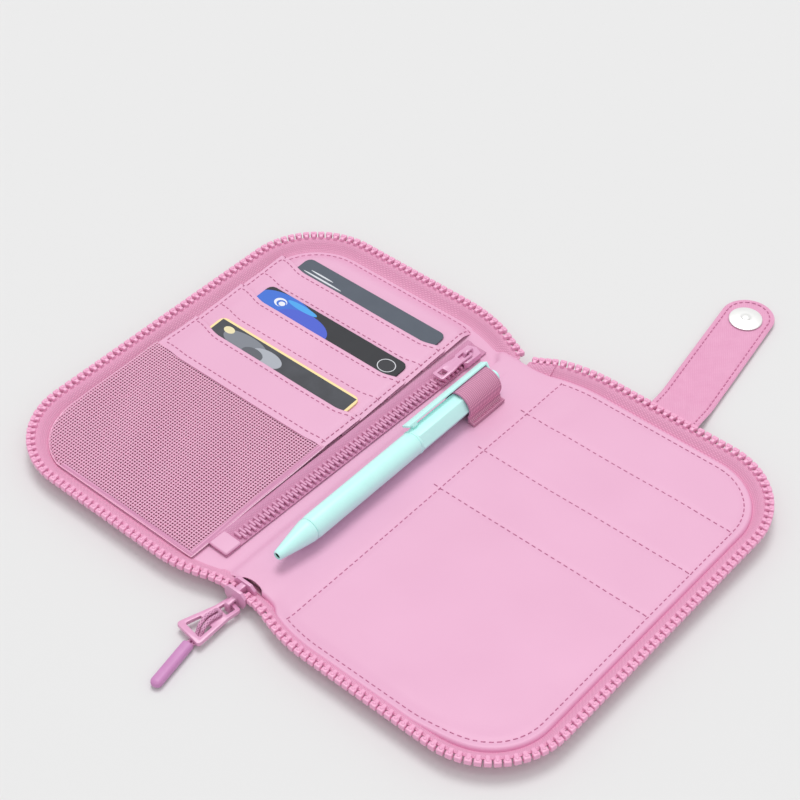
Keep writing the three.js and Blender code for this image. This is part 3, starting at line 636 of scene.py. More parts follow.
def stitches(line, name, height, body, material, slot, pitch=3.1):
    """A run of stitches along a line of x, y points, lying on a height."""
    matrices = []
    look = 0.8
    for point, way in along_path(np.array(line, float), pitch):
        x, y = point[0], point[1]
        z = height(x, y)
        ahead = height(x + way[0] * look, y + way[1] * look)
        tilt = math.atan2(ahead - z, look)
        turn = math.atan2(way[1], way[0]) + random.uniform(-0.06, 0.06)
        long = random.uniform(0.88, 1.08)
        matrices.append(Matrix.Translation(Vector((x, y, z + 0.1)) * MM) @ Matrix.Rotation(turn, 4, "Z")
                        @ Matrix.Rotation(-tilt, 4, "Y") @ Matrix.Diagonal((long, 1, 0.8, 1)))
    return settle(copies(STITCH, matrices), name, material, slot, body, smooth=60)


def teeth_row(path, name, body, replaces, last=0.0, scale=1.0, outward=True, bend=None):
    """Teeth along a path of x, y points, or of x, y, z where the row sinks."""
    matrices = []
    for point, way in along_path(path, TOOTH_PITCH * scale, last):
        turn = math.atan2(way[1], way[0]) + (math.pi if outward else 0)
        high = point[2] if len(point) > 2 else ROW_Z
        matrices.append(Matrix.Translation(Vector((point[0], point[1], high)) * MM)
                        @ Matrix.Rotation(turn, 4, "Z") @ Matrix.Scale(scale, 4))
    return settle(copies(TOOTH, matrices), name, TEETH, "zip_teeth", body, replaces, 50, bend)


# Camera

turn = Vector(CAMERA_TURN)
view = Matrix.Rotation(turn.length, 3, turn.normalized())
place = -(view.transposed() @ Vector(CAMERA_SHIFT)) + Vector((0, 0, CAMERA_BASE))
axes = Matrix((view[0], -view[1], -view[2])).transposed()
camera_data = bpy.data.cameras.new("camera")
camera_data.sensor_width = SENSOR
camera_data.lens = FOCAL_PIXELS / FRAME_PIXELS * SENSOR
camera_data.clip_start, camera_data.clip_end = 0.01, 20
camera = bpy.data.objects.new("camera", camera_data)
bpy.context.scene.collection.objects.link(camera)
camera.matrix_world = Matrix.Translation(place * MM) @ axes.to_4x4()
bpy.context.scene.camera = camera


# Pull cord: over the web of the pull, through its window and into the grip, lying in a loop

HINGE = Vector((0.2, -98.6, 0.0))
PULL_TURN = Matrix.Translation(HINGE) @ Matrix.Rotation(math.radians(-8.5), 4, "Z")
PULL_FAR = -23.0
GRIP_ASIDE, GRIP_TURN = 2.6, math.radians(19)
CORD_RADIUS, CORD_HALF = 0.9, 1.3
CORD_UNDER, CORD_OVER = 1.25, 5.3


def leaned(x0, y):
    """A place of the loop, drawn aside and turned towards the grip."""
    drift = min(1.0, max(0.0, (PULL_FAR + 9.5 - y) / 7))
    x = x0 * (1 - 0.2 * drift)
    if y > PULL_FAR:
        return x + GRIP_ASIDE * drift, y
    along = y - PULL_FAR
    return (GRIP_ASIDE + x * math.cos(GRIP_TURN) - along * math.sin(GRIP_TURN),
            PULL_FAR + x * math.sin(GRIP_TURN) + along * math.cos(GRIP_TURN))


def cord_points():
    strand = [(PULL_FAR - 5, CORD_UNDER), (PULL_FAR - 1, CORD_UNDER), (PULL_FAR + 2.6, CORD_UNDER),
              (PULL_FAR + 5, 2.6), (PULL_FAR + 6.6, 4.4), (PULL_FAR + 10.4, CORD_OVER),
              (PULL_FAR + 14, CORD_OVER)]
    up = [Vector((*leaned(-CORD_HALF, y), z)) for y, z in strand]
    down = [Vector((*leaned(CORD_HALF, y), z)) for y, z in reversed(strand)]
    over_web = []
    for share in (-1, -0.7, 0, 0.7, 1):
        a = share * math.pi / 2
        over_web.append(Vector((CORD_HALF * math.sin(a), PULL_FAR + 15.2 + 1.17 * math.cos(a), CORD_OVER)))
    return up + over_web + down


def catmull(points, steps):
    points = [np.array(p) for p in points]
    out = []
    for i in range(len(points) - 1):
        p0, p1 = points[max(0, i - 1)], points[i]
        p2, p3 = points[i + 1], points[min(len(points) - 1, i + 2)]
        for t in np.linspace(0, 1, steps, endpoint=False):
            out.append(0.5 * ((2 * p1) + (p2 - p0) * t + (2 * p0 - 5 * p1 + 4 * p2 - p3) * t * t
                              + (3 * p1 - p0 - 3 * p2 + p3) * t ** 3))
    out.append(points[-1])
    return np.array(out)


def tube(points, radius):
    """A round tube along points, closed at its ends, with its UV in mm."""
    around = 14
    ways = np.gradient(points, axis=0)
    ways /= np.linalg.norm(ways, axis=1)[:, None]
    side = np.cross(ways, [0, 0, 1.0])
    side /= np.maximum(np.linalg.norm(side, axis=1), 1e-6)[:, None]
    up = np.cross(side, ways)
    long = np.linalg.norm(np.diff(points, axis=0), axis=1).sum()

    def place(u, v):
        i = int(round(u))
        a = 2 * math.pi * v / around
        return points[i] + radius * (math.cos(a) * side[i] + math.sin(a) * up[i])

    return close_ends(cloth(list(range(len(points))), list(range(around + 1)), place,
                            uv=(long, 2 * math.pi * radius)))


def close_ends(thing):
    """Merges a rolled-up grid along its seam and fills its open ends."""
    edit(thing)
    bpy.ops.mesh.remove_doubles(threshold=0.001 * MM)
    bpy.ops.mesh.select_all(action="DESELECT")
    bpy.ops.mesh.select_mode(type="EDGE")
    bpy.ops.mesh.select_non_manifold()
    bpy.ops.mesh.fill()
    bpy.ops.mesh.select_all(action="SELECT")
    bpy.ops.mesh.normals_make_consistent(inside=False)
    object_mode()
    return thing


cord_line = catmull(cord_points(), 6)
cord_line = np.array([list(PULL_TURN @ Vector(p)) for p in cord_line])
cord = tube(cord_line, CORD_RADIUS)
settle(cord, "pull_cord_braid", CORD, "pull_cord", "main_pull", ("pull_cord",))


# Outer cover of canvas: flat under the board, up the slanting side and folded over inside the teeth

FLAT_ROWS = (0, 0.34, 0.67, 0.93)
COVER_SECTION = [(6.8, 0.05), (6.2, 0.5), (5.0, 1.9), (3.4, 4.1), (2.1, 5.9), (1.7, 6.5), (1.9, 6.9),
                 (2.5, 6.8), (3.2, 6.0)]
COVER_MIDDLE = 80


def cover(right):
    side = 1 if right else -1
    paths = [rim(inset) for inset, _ in COVER_SECTION]
    waist = 14
    count = len(paths[0]) + 2 * waist

    def edge(i, j):
        inset, z = COVER_SECTION[j]
        if waist <= i < count - waist:
            x, y = paths[j][i - waist]
            return x, y, z
        x = min(i, count - 1 - i) / waist * CREASE
        y = ROW_Y - inset - pinch(max(x, PINCH_FULL))
        z = z * (0.62 + 0.38 * smoothstep((x - 8) / 7))
        return x, (-y if i < waist else y), z

    def place(u, v):
        i, j = int(round(u)), int(round(v))
        if j >= len(FLAT_ROWS):
            x, y, z = edge(i, j - len(FLAT_ROWS))
            return side * x, y, z
        # the flat rows start on the middle line of the half, where both sides of the sheet meet
        x, y = edge(i, 0)[:2]
        middle = min(x, COVER_MIDDLE)
        return side * (middle + (x - middle) * FLAT_ROWS[j]), y * FLAT_ROWS[j], 0.0

    rows = len(FLAT_ROWS) + len(COVER_SECTION)
    thing = cloth(list(range(count)), list(range(rows)), place, flip=not right)
    edit(thing)
    bpy.ops.mesh.remove_doubles(threshold=0.01 * MM)
    object_mode()
    apply(thing, "SOLIDIFY", thickness=1.0 * MM, offset=-1.0, use_even_offset=False)
    if right:
        settle(thing, "right_canvas_cover", CANVAS, "outer_fabric", "spine",
               ("right_outer_cover", "spine_outer_cover"), 50, COVER_BEND_RIGHT)
    else:
        settle(thing, "left_canvas_cover", CANVAS, "outer_fabric", "left_half", ("left_outer_cover",), 50,
               COVER_BEND_LEFT)


cover(True)
cover(False)


# Zip tape and teeth round the edge

TAPE_SECTION = [(9.6, 3.6), (7.6, 3.9), (6.0, 4.6), (4.6, 5.8), (3.3, 7.1), (2.2, 7.75), (0.6, 8.0)]
TAPE_THICK = 0.5


def rim_tape(right):
    """The strip of one half; its section is given as inset and height, with one row between each two."""
    rows = range(len(TAPE_SECTION))
    stations = np.linspace(0, rows[-1], rows[-1] * 2 + 1)
    insets = np.interp(stations, rows, [inset for inset, _ in TAPE_SECTION])
    heights = np.interp(stations, rows, [high for _, high in TAPE_SECTION])
    paths = [rim(inset) for inset in insets]
    side = 1 if right else -1

    def place(u, v):
        i, j = int(round(u)), int(round(v))
        x, y = paths[j][i]
        return side * x, y, heights[j]

    return cloth(list(range(len(paths[0]))), list(range(len(stations))), place, TAPE_THICK, flip=right,
                 uv=(490, 10.5))


for right in (True, False):
    word = "right" if right else "left"
    body = f"{word}_half"
    strip = rim_tape(right)
    settle(strip, f"{word}_twill_tape", TAPE, "zip_tape", body, (f"{word}_zip_tape",), 60)
    path = rim(0, CREASE + 0.3) * [1 if right else -1, 1]
    teeth_row(path, f"{word}_moulded_teeth", body, (f"{word}_zip_teeth",), outward=right)


# The last teeth and tape at the spine's ends, which lie across the creases

CHAIN_ENDS = {
    "lower_chain_end_left": [(-15.7, -95.5, 8.1), (-9.5, -93.9, 7.4), (-2.9, -93.1, 6.4)],
    "lower_chain_end_right": [(15.7, -95.5, 8.1), (9.0, -93.9, 7.4), (1.4, -93.1, 6.4)],
    "upper_chain_end_left": [(-15.7, 95.5, 8.1), (-8.2, 92.6, 7.3), (-1.4, 90.3, 6.3)],
    "upper_chain_end_right": [(15.7, 95.5, 8.1), (9.4, 92.4, 7.3), (4.0, 90.3, 6.3)],
}


def chain_end(name, path):
    right, upper = path[0][0] > 0, path[0][1] > 0
    stations = catmull([Vector(p) for p in path], 6)
    section = TAPE_SECTION[1:]

    def place(u, v):
        x, y, z = stations[int(round(u))]
        inset, high = section[int(round(v))]
        return x, y + (-inset if upper else inset), high + (z - ROW_Z)

    strip = cloth(list(range(len(stations))), list(range(len(section))), place, TAPE_THICK,
                  uv=(16 if upper else -16, 9))
    tidy_mesh(strip)
    bend = COVER_BEND_RIGHT if right else COVER_BEND_LEFT
    body = "spine" if right else "left_half"
    settle(strip, name + "_tape", TAPE, "zip_tape", body, (), 60, bend)
    # the heads look away from the spine's middle
    outward = path if upper == right else path[::-1]
    teeth_row(np.array(outward, float), name + "_teeth", body, (name,), 0.4, 0.97, bend=bend)


for name, path in CHAIN_ENDS.items():
    chain_end(name, path)


# Linings

def notch(off, half):
    """Depth of the round cut that clears the slider at the lower end."""
    return NOTCH_DEEP * max(0.0, 1 - (off / half) ** 2) ** 0.5 if abs(off) < half else 0


def lining_reach(x):
    """Half height of the lining at a place across."""
    if x >= CREASE:
        return ROW_Y - LINING_INSET - pinch(x)
    crease = ROW_Y - LINING_INSET - pinch(CREASE)
    return LINING_END + smoothstep((x - 7) / 8.65) * (crease - LINING_END)


def wave(x, y):
    """Slow folds of a loosely held cloth."""
    return (0.22 * math.sin(x / 17 + y / 31) * math.cos(y / 23 - x / 41)
            + 0.12 * math.sin(x / 9.3 - y / 14 + 1.3) * math.sin(y / 37 + 0.4))


def seam_dip(d, deep=0.3, wide=1.1):
    return -deep * math.exp(-(d / wide) ** 2)


def end_lift(x, y):
    """The lining rises a little towards the ends of the spine."""
    return 0.35 * smoothstep((abs(y) - 74) / 10) * smoothstep((12 - x) / 8)


def lining_inset(x, y):
    """How far a point lies inside the edge, counted at the spine from the lining's own end."""
    if x < CREASE:
        return LINING_INSET + lining_reach(x) - abs(y)
    return inset_of(x, y)


def lower_shift(x):
    """Along its lower edge the panel is cut straight, so it comes nearer to the teeth than elsewhere."""
    return 3.2 * smoothstep((x - 12) / 8) * smoothstep((114 - x) / 24)


def right_height(x, y):
    shift = lower_shift(x) if y < 0 else 0.0
    inset = lining_inset(x, y) + shift
    z = PANEL_TOP + wave(x, y) * smoothstep((inset - 10) / 8)
    z += 0.36 * shift * smoothstep((15 - inset) / 8)
    inner = x > PANEL_INNER
    z += seam_dip(inset - STITCH_INSET) if inner else 0
    if inset > STITCH_INSET:
        z += seam_dip(x - PANEL_INNER)
        if inner:
            for line in PANEL_SEAMS:
                z += seam_dip(y - line, 0.22)
    z += end_lift(x, y)
    # a small dimple where the board ends
    z -= 0.5 * math.exp(-((x - 36) / 5) ** 2 - ((y - 70) / 9) ** 2)
    roll = LINING_INSET + ROLL_WIDE
    if inset < roll:
        t = min(1.0, (roll - inset) / ROLL_WIDE)
        z -= 1.9 * (1 - math.sqrt(max(0.0, 1 - t * t)))
    return z


def half_stations():
    """Places across a lining, closer together in the corner and at the rolled edge."""
    xs = list(np.arange(0, 105.3, 1.25))
    r = ROW_RADIUS - LINING_INSET
    arc = [105.3 + r * math.sin(math.radians(a)) for a in np.linspace(0, 90, 26)]
    side = ROW_X - LINING_INSET
    return xs + [x for x in arc if x < side - 1.6] + [side - d for d in (1.5, 1.1, 0.7, 0.4, 0.15, 0)]


# Rows along a lining: some at fixed distances from each end, and the others shared out between them
EDGE_STEPS = [0, 0.15, 0.4, 0.7, 1.1, 1.5, 2.2]
ROWS = [(-1, step) for step in EDGE_STEPS]
ROWS += [(0, share) for share in np.linspace(0, 1, 132)[1:-1]]
ROWS += [(1, step) for step in reversed(EDGE_STEPS)]


def row_place(v, reach_low, reach_high):
    kind, t = ROWS[int(round(v))]
    if kind < 0:
        return -reach_low + t
    if kind > 0:
        return reach_high - t
    return -reach_low + EDGE_STEPS[-1] + t * (reach_high + reach_low - 2 * EDGE_STEPS[-1])


def arc_reach(x):
    """Half height of a lining where its edge is the round corner."""
    if x <= ROW_X - ROW_RADIUS:
        return None
    r = ROW_RADIUS - LINING_INSET
    return ROW_Y - ROW_RADIUS + math.sqrt(max(0.0, r * r - (x - ROW_X + ROW_RADIUS) ** 2))


def right_place(u, v):
    low = (arc_reach(u) or lining_reach(u) - notch(u + 0.8, 6.6)) + lower_shift(u)
    y = row_place(v, low, arc_reach(u) or lining_reach(u))
    return u, y, right_height(u, y)


right_lining = cloth(half_stations(), list(range(len(ROWS))), right_place, 0.5)
settle(right_lining, "right_coated_lining", LINING, "lining_fabric", "spine",
       ("right_lining_panel", "spine_lining"), 50, LINING_BEND_RIGHT)


def left_height(x, y):
    """Lining of the left half, x counted from the spine outward."""
    inset = lining_inset(x, y)
    # beside the inner slider the lining stays low nearer to the spine, to clear the slider when folded
    near = smoothstep((y - 46) / 6) * smoothstep((86 - y) / 5)
    rise = smoothstep((13.5 - 4.9 * near - x) / (4.5 - 3.3 * near))
    z = LINING_LOW + (SPINE_TOP + 0.1 - LINING_LOW) * rise + 0.3 * wave(-x, y) * rise
    z += end_lift(x, y)
    roll = LINING_INSET + ROLL_WIDE
    if inset < roll:
        z -= 0.5 * min(1.0, (roll - inset) / ROLL_WIDE)
    return z


def left_place(u, v):
    low = arc_reach(u) or lining_reach(u) - notch(u, 6.4)
    y = row_place(v, low, arc_reach(u) or lining_reach(u))
    return -u, y, left_height(u, y)


left_lining = cloth(half_stations(), list(range(len(ROWS))), left_place, 0.4, flip=True)
settle(left_lining, "left_coated_lining", LINING, "lining_fabric", "left_half", ("left_lining",), 50,
       LINING_BEND_LEFT)


# Stitching of the right half

ring = [(x, y - (lower_shift(x) if y < 0 else 0)) for x, y in rim(STITCH_INSET, PANEL_INNER)]
lower_y, upper_y = ring[0][1], ring[-1][1]
stitches(ring, "right_panel_edge_stitches", right_height, "right_half", THREAD, "lining_fabric")
stitches([(PANEL_INNER, lower_y - 1), (PANEL_INNER, upper_y + 1)], "right_panel_inner_stitches", right_height,
         "right_half", THREAD, "lining_fabric")
for number, y in enumerate(PANEL_SEAMS):
    stitches([(PANEL_INNER - 4, y), (ROW_X - STITCH_INSET, y)], f"right_panel_cross_stitches_{number}",
             right_height, "right_half", THREAD, "lining_fabric", 3.3)


# Left half: slots for cards, each a turned and stitched edge that dips softly between its ends

SEAM_XS = np.linspace(-ROW_X + 10.2, SLOT_RIGHT - 1, 60)
HEM_DOWN = 2.3
TOP_FROM = 55


def left_reach(y, inset=SLOT_INSET):
    """How far out the left half reaches at a place along the spine."""
    if abs(y) > ROW_Y - ROW_RADIUS:
        r = ROW_RADIUS - inset
        return ROW_X - ROW_RADIUS + math.sqrt(max(0.0, r * r - (abs(y) - ROW_Y + ROW_RADIUS) ** 2))
    return ROW_X - inset


def mouth_rise(x):
    """The slot's edge is drawn up where its ends are sewn."""
    left = (x + ROW_X - STITCH_INSET) / 17
    right = (SLOT_RIGHT - x) / 13
    return 3.6 * (1 - smoothstep(left)) + 3.0 * (1 - smoothstep(right))


def slot_height(k, x, y):
    z = SLOT_HIGH - (SLOT_SLOPE if k < 2 else 0.006) * (SLOT_MOUTHS[k] - y)
    ends = smoothstep((x + ROW_X - 9) / 9) * smoothstep((SLOT_RIGHT - x - 0.3) / 5)
    z -= (1 - ends) * 1.0
    z += 0.5 * wave(x * 1.3, y * 1.2) * ends
    if k == 2:
        z += 0.35 * smoothstep((4 - y) / 14)
    for seam in SLOT_SEAMS:
        z += seam_dip(y - seam - 0.8 * mouth_rise(x), 0.22, 0.9)
    z += seam_dip(y - SLOT_MOUTHS[k] - mouth_rise(x) + HEM_DOWN, 0.16, 0.8)
    return z


def slot_sheet(k):
    lowest = SLOT_MOUTHS[k + 1] - 9 if k < 2 else -12.9

    def place(u, v):
        reach = -left_reach(min(84, SLOT_MOUTHS[k] if v > 0.5 else lowest))
        x = reach + (SLOT_RIGHT - reach) * u
        top = SLOT_MOUTHS[k] + mouth_rise(x)
        low = lowest + (mouth_rise(x) * 0.35 if k == 2 else 0)
        y = low + (top - low) * v
        z = slot_height(k, x, y)
        roll = min(1.0, max(0.0, (v - 0.985) / 0.015))
        return x, y, z - 0.25 * roll * roll

    thing = cloth(evenly(90), list(np.linspace(0, 0.97, 34)) + [0.985, 0.993, 1.0], place, 0.42)
    settle(thing, f"card_slot_{k + 1}", LINING, "lining_fabric", "left_half",
           ("card_slot_panel",) if k == 0 else (), 50)
    line = [(x, SLOT_MOUTHS[k] + mouth_rise(x) - HEM_DOWN) for x in SEAM_XS]
    stitches(line, f"card_slot_{k + 1}_edge_stitches", lambda x, y: slot_height(k, x, y), "left_half", THREAD,
             "lining_fabric", 3.2)


for k in range(3):
    slot_sheet(k)
for k, seam in enumerate(SLOT_SEAMS):
    line = [(x, seam + 0.8 * mouth_rise(x)) for x in SEAM_XS]
    stitches(line, f"slot_seam_{k + 1}_stitches", lambda x, y, k=k: slot_height(k, x, y), "left_half", THREAD,
             "lining_fabric", 3.2)


def top_height(x, y):
    base = SLOT_HIGH - 1.4 + SLOT_SLOPE * (y - SLOT_MOUTHS[0])
    inset = inset_of(-x, y)
    z = 4.6 + (base - 4.6) * smoothstep((inset - SLOT_INSET) / 9)
    ends = smoothstep((SLOT_RIGHT - x) / 5)
    z -= (1 - ends) * 0.9
    return z + 0.5 * wave(x, y) * smoothstep((inset - 10) / 5) + seam_dip(inset - STITCH_INSET, 0.2)


def top_place(u, v):
    y = TOP_FROM + (ROW_Y - SLOT_INSET - TOP_FROM) * v
    reach = -left_reach(y)
    x = reach + (SLOT_RIGHT - reach) * u
    return x, y, top_height(x, y)


top_sheet = cloth(evenly(90), evenly(50), top_place, 0.42)
settle(top_sheet, "card_pocket_back", LINING, "lining_fabric", "left_half", (), 50)


# Side seams of the slots

outer_line = [(-x, y) for x, y in rim(STITCH_INSET, -SLOT_RIGHT) if y > -10 and x > -SLOT_RIGHT - 0.1]


def slots_height(x, y):
    for k, mouth in enumerate(SLOT_MOUTHS):
        if y > mouth + mouth_rise(x):
            return top_height(x, y) if k == 0 else slot_height(k - 1, x, y)
    return slot_height(2, x, y)


stitches(outer_line, "card_panel_outer_stitches", slots_height, "left_half", THREAD, "lining_fabric", 3.1)
stitches([(SLOT_RIGHT - 2.4, -11), (SLOT_RIGHT - 2.0, 89)], "card_panel_inner_stitches", slots_height,
         "left_half", THREAD, "lining_fabric", 3.1)
stitches([(x, -9.6 + mouth_rise(x) * 0.35) for x in SEAM_XS], "net_top_stitches",
         lambda x, y: slot_height(2, x, y), "left_half", THREAD, "lining_fabric", 3.1)


# Net pocket with real holes, one to each pitch

def net_height(x, y):
    share = (y - NET_BOTTOM) / (NET_TOP - NET_BOTTOM)
    z = 5.1 + 1.85 * min(1.0, share * 1.05)
    z += 0.35 * math.sin((x + y * 0.55) / 5.5) * math.sin(math.pi * min(1, max(0, share))) ** 2
    return z


def net_place(u, v):
    y = NET_BOTTOM + (NET_TOP - NET_BOTTOM) * v
    reach = -left_reach(y, NET_INSET)
    x = max(-ROW_X + NET_INSET + (SLOT_RIGHT + ROW_X - NET_INSET) * u, reach)
    return x, y, net_height(x, y)


net = cloth(evenly(int((ROW_X - NET_INSET + SLOT_RIGHT) / NET_PITCH) + 1),
            evenly(int((NET_TOP - NET_BOTTOM) / NET_PITCH) + 1), net_place)
edit(net)
bpy.ops.mesh.remove_doubles(threshold=0.02 * MM)
bpy.ops.mesh.delete_loose()
object_mode()
apply(net, "WIREFRAME", thickness=0.8 * MM, use_even_offset=False, use_boundary=True, use_replace=True)
settle(net, "knitted_net", NET, "mesh_net", "left_half", ("mesh_pocket",), 60)


# The sheet under the net is darker than the lining so that its holes show painted shade
def under_net(u, v):
    x, y, z = net_place(u, v)
    return x, y, z - 0.66


net_back_shade = cloth(evenly(50), evenly(40), under_net, 0.3)
tidy_mesh(net_back_shade, 0.02)
settle(net_back_shade, "net_pocket_back_painted_shade", NET_BACK_SHADE, "lining_fabric", "left_half", (), 50)


def net_hem(name, start, end, wide):
    """A folded edge of the net, by the zip or along the lower side."""
    a, b = np.array(start), np.array(end)
    away = (b - a) / np.linalg.norm(b - a)
    cross = np.array([-away[1], away[0]])

    def place(u, v):
        p = a + (b - a) * u + cross * wide * (v - 0.5) * 2
        return p[0], p[1], net_height(p[0], p[1]) + 0.5

    hem = cloth(evenly(60), evenly(4), place, 0.5)
    tidy_mesh(hem)
    return settle(hem, name, INNER_TAPE, "mesh_net", "left_half", (), 50)


hems = [net_hem("net_side_hem", (SLOT_RIGHT - 1.1, NET_TOP - 1), (SLOT_RIGHT - 1.1, NET_BOTTOM + 1.5), 1.1),
        net_hem("net_lower_hem", (SLOT_RIGHT, NET_BOTTOM + 0.9), (-ROW_X + 32, NET_BOTTOM + 0.9), 0.9)]


# Cards, their print placed by each card's left and upper edge

CARD_LEFTS, CARD_TOPS = [-121.1, -121.3, -122.9], [78.1, 51.6, 20.9]
card_middles = [(left + CARD_HALF[0], top - CARD_HALF[1]) for left, top in zip(CARD_LEFTS, CARD_TOPS)]
card_paints = [
    printed_card("laminated_card_slate", "#545C68", "#4B525E", card_middles[0],
                 [(-27, 18.6, 12, 0.5, 0.02, "#D9DCE2"), (-29, 20.8, 7, 0.45, 0.02, "#D9DCE2")]),
    printed_card("laminated_card_black", "#28292E", "#1F2025", card_middles[1],
                 [(-27, 19.5, 17, 7.5, 0.25, "#3E6FD0"), (-13, 15, 15, 8, -0.2, "#4A5FCB"),
                  (-20, 24, 9, 1.6, 0.1, "#4BA3E8"), (-31, 20.8, 3.4, 2.7, 0.4, "#E8EAF2"),
                  (-30.2, 20.5, 2.6, 2.1, 0.4, "#3E6FD0"), (-29.8, 20.4, 1.7, 1.4, 0.4, "#E8EAF2"),
                  (35.2, 20.4, 4.6, 4.0, 0.0, "#D9DADF"), (35.2, 20.4, 4.2, 3.6, 0.0, "#303136")]),
    printed_card("laminated_card_gold_edge", "#323338", "#4C4E55", card_middles[2],
                 [(-22, 20, 13, 5.0, 0.3, "#7E828B"), (-8, 19, 9, 4.5, -0.5, "#A9ADB6"),
                  (-15, 17, 6, 3.6, 0.9, "#5B5E66"), (-34, 22, 3.0, 2.0, 0.2, "#E9DDB2")], rim="#FBE3A5"),
]
CARD_SLOTS = {"upper_card": "card_slate", "middle_card": "card_black", "lower_card": "card_gold"}
for (node, slot), paint in zip(CARD_SLOTS.items(), card_paints):
    dressed(node, f"{node}_laminate", paint, slot, "left_half", 0.12, 1)


# Inner zip

COIL_PITCH, COIL_FROM, COIL_LONG = 1.4, -71.5, 152


def zip_lean(unit):
    """The lean of the inner zip about its own middle, for places in mm (1) or metres (MM)."""
    return (Matrix.Translation(Vector((CHAIN_X * unit, 0, 0)))
            @ Matrix.Rotation(math.radians(-CHAIN_LEAN), 4, "Z")
            @ Matrix.Translation(Vector((-CHAIN_X * unit, 0, 0))))


def inner_tape_place(u, v):
    x = CHAIN_X - 7.6 + 11.1 * u
    y = -82.5 + 166 * v
    z = 4.85 + 0.9 * smoothstep((CHAIN_X - 3.4 - x) / 2.5) + 0.08 * math.sin(y / 6)
    return tuple(zip_lean(1) @ Vector((x, y, z)))


tape = cloth(evenly(14), evenly(90), inner_tape_place, 0.45, uv=(11.1, 166))
settle(tape, "inner_twill_tape", INNER_TAPE, "zip_tape", "left_half", ("inner_zip_tape",), 50)

coil_tooth = block((-2.45, -0.55, -0.8), (1.6, 0.55, 0.8), 0.34, 2)
coil_places = []
for i in range(int(COIL_LONG / COIL_PITCH)):
    # teeth of the two sides take turns
    x = CHAIN_X + (0.5 if i % 2 else -0.5)
    at = Matrix.Translation(Vector((x, COIL_FROM + i * COIL_PITCH, 5.75)) * MM)
    coil_places.append(zip_lean(MM) @ at @ Matrix.Rotation(math.pi if i % 2 else 0.0, 4, "Z"))
chain = copies(coil_tooth, coil_places)
drop(coil_tooth)
settle(chain, "inner_zip_chain", COIL, "zip_teeth", "left_half", ("inner_zip_teeth",), 50)

dressed("inner_zip_end_tab", "inner_zip_fabric_tab", LINING, "lining_fabric", "left_half", 1.0, 4, 50)
dressed("inner_slider", "inner_slider_enamelled", ZINC, "zip_metal", "inner_slider", 0.28, 2)
dressed("inner_pull", "inner_pull_enamelled", ZINC, "zip_metal", "inner_pull", 0.24, 2)


# Pen

def to_pen(thing):
    return move(thing, Matrix.Translation(Vector((PEN_X, 0, PEN_Z)) * MM))


barrel = turned([(4.2, -54.5), (5.15, -54.45), (5.3, -54.2), (5.5, -52.6), (5.5, -30), (5.5, 10.2),
                 (5.42, 10.9), (5.2, 11.15), (4.2, 11.2)])
settle(to_pen(barrel), "pen_barrel_moulded", MINT, "pen_body", "spine", ("pen_barrel",), 40)
tip = turned([(4.0, -54.55), (5.1, -54.6), (5.32, -54.95), (5.3, -56.2), (4.7, -60), (3.6, -66),
              (2.45, -72.2), (2.15, -73.7), (1.9, -74.0), (1.5, -74.0), (1.3, -73.6), (1.3, -70)])
settle(to_pen(tip), "pen_tip_moulded", MINT, "pen_body", "spine", ("pen_tip",), 40)

# a sleeve in dark green lines the mouth as painted shade inside the bore, and the refill runs through it
sleeve = rod(1.29, 3.3, -71.8, 32, "NOTHING")
tidy_mesh(sleeve)
apply(sleeve, "SOLIDIFY", thickness=0.16 * MM, offset=-1.0)
settle(to_pen(sleeve), "pen_mouth_painted_shade_sleeve", MINT_BORE_SHADE, "pen_body", "spine", (), 40)

# the upper body has six flats, 5.35 mm from the middle
upper = rod(5.35 / math.cos(math.pi / 6), 51.3, 37.15, 6)
move(upper, Matrix.Rotation(math.radians(28), 4, "Y"))
apply(upper, "BEVEL", width=0.35 * MM, segments=3, limit_method="ANGLE", angle_limit=math.radians(30))
settle(to_pen(upper), "pen_upper_moulded", MINT, "pen_body", "spine", ("pen_upper_body",), 25)
joint = turned([(4.3, 10.6), (5.62, 10.7), (5.75, 10.9), (5.75, 11.6), (5.5, 11.9), (4.4, 12.0)])
settle(to_pen(joint), "pen_joint_ring", MINT, "pen_body", "spine", (), 40)
dressed("pen_clip", "pen_clip_moulded", MINT, "pen_body", "spine", 0.22, 2)
dressed("pen_button", "pen_button_moulded", MINT, "pen_body", "pen_button", 0.5, 3)
finish("pen_refill", REFILL)


# Pen loop: ribbed elastic round the pen, its two ends sewn down in a flange

def loop_line():
    points = []
    for i in range(40):
        a = math.radians(270 - i * 298 / 39)
        points.append((PEN_X + LOOP_R * math.cos(a), PEN_Z + LOOP_R * math.sin(a)))
    x, z = points[-1]
    points += [(x + 0.35, z - 1.2), (x + 0.5, z - 2.0), (x + 1.2, 7.75), (11.2, 7.6)]
    return np.array(points)


LOOP_LINE = loop_line()


def loop_place(u, v):
    i = int(u)
    t = u - i
    p = LOOP_LINE[i] if i >= len(LOOP_LINE) - 1 else LOOP_LINE[i] * (1 - t) + LOOP_LINE[i + 1] * t
    before, after = LOOP_LINE[max(0, i - 1)], LOOP_LINE[min(len(LOOP_LINE) - 1, i + 1)]
    way = (after - before) / np.linalg.norm(after - before)
    out = np.array([-way[1], way[0]])
    y = LOOP_NEAR + (LOOP_FAR - LOOP_NEAR) * v
    lift = -RIB_DEEP * math.cos(2 * math.pi * y / RIB_PITCH)
    if v < 0.02 or v > 0.98:
        lift = -0.1
    return p[0] + out[0] * lift, y, p[1] + out[1] * lift


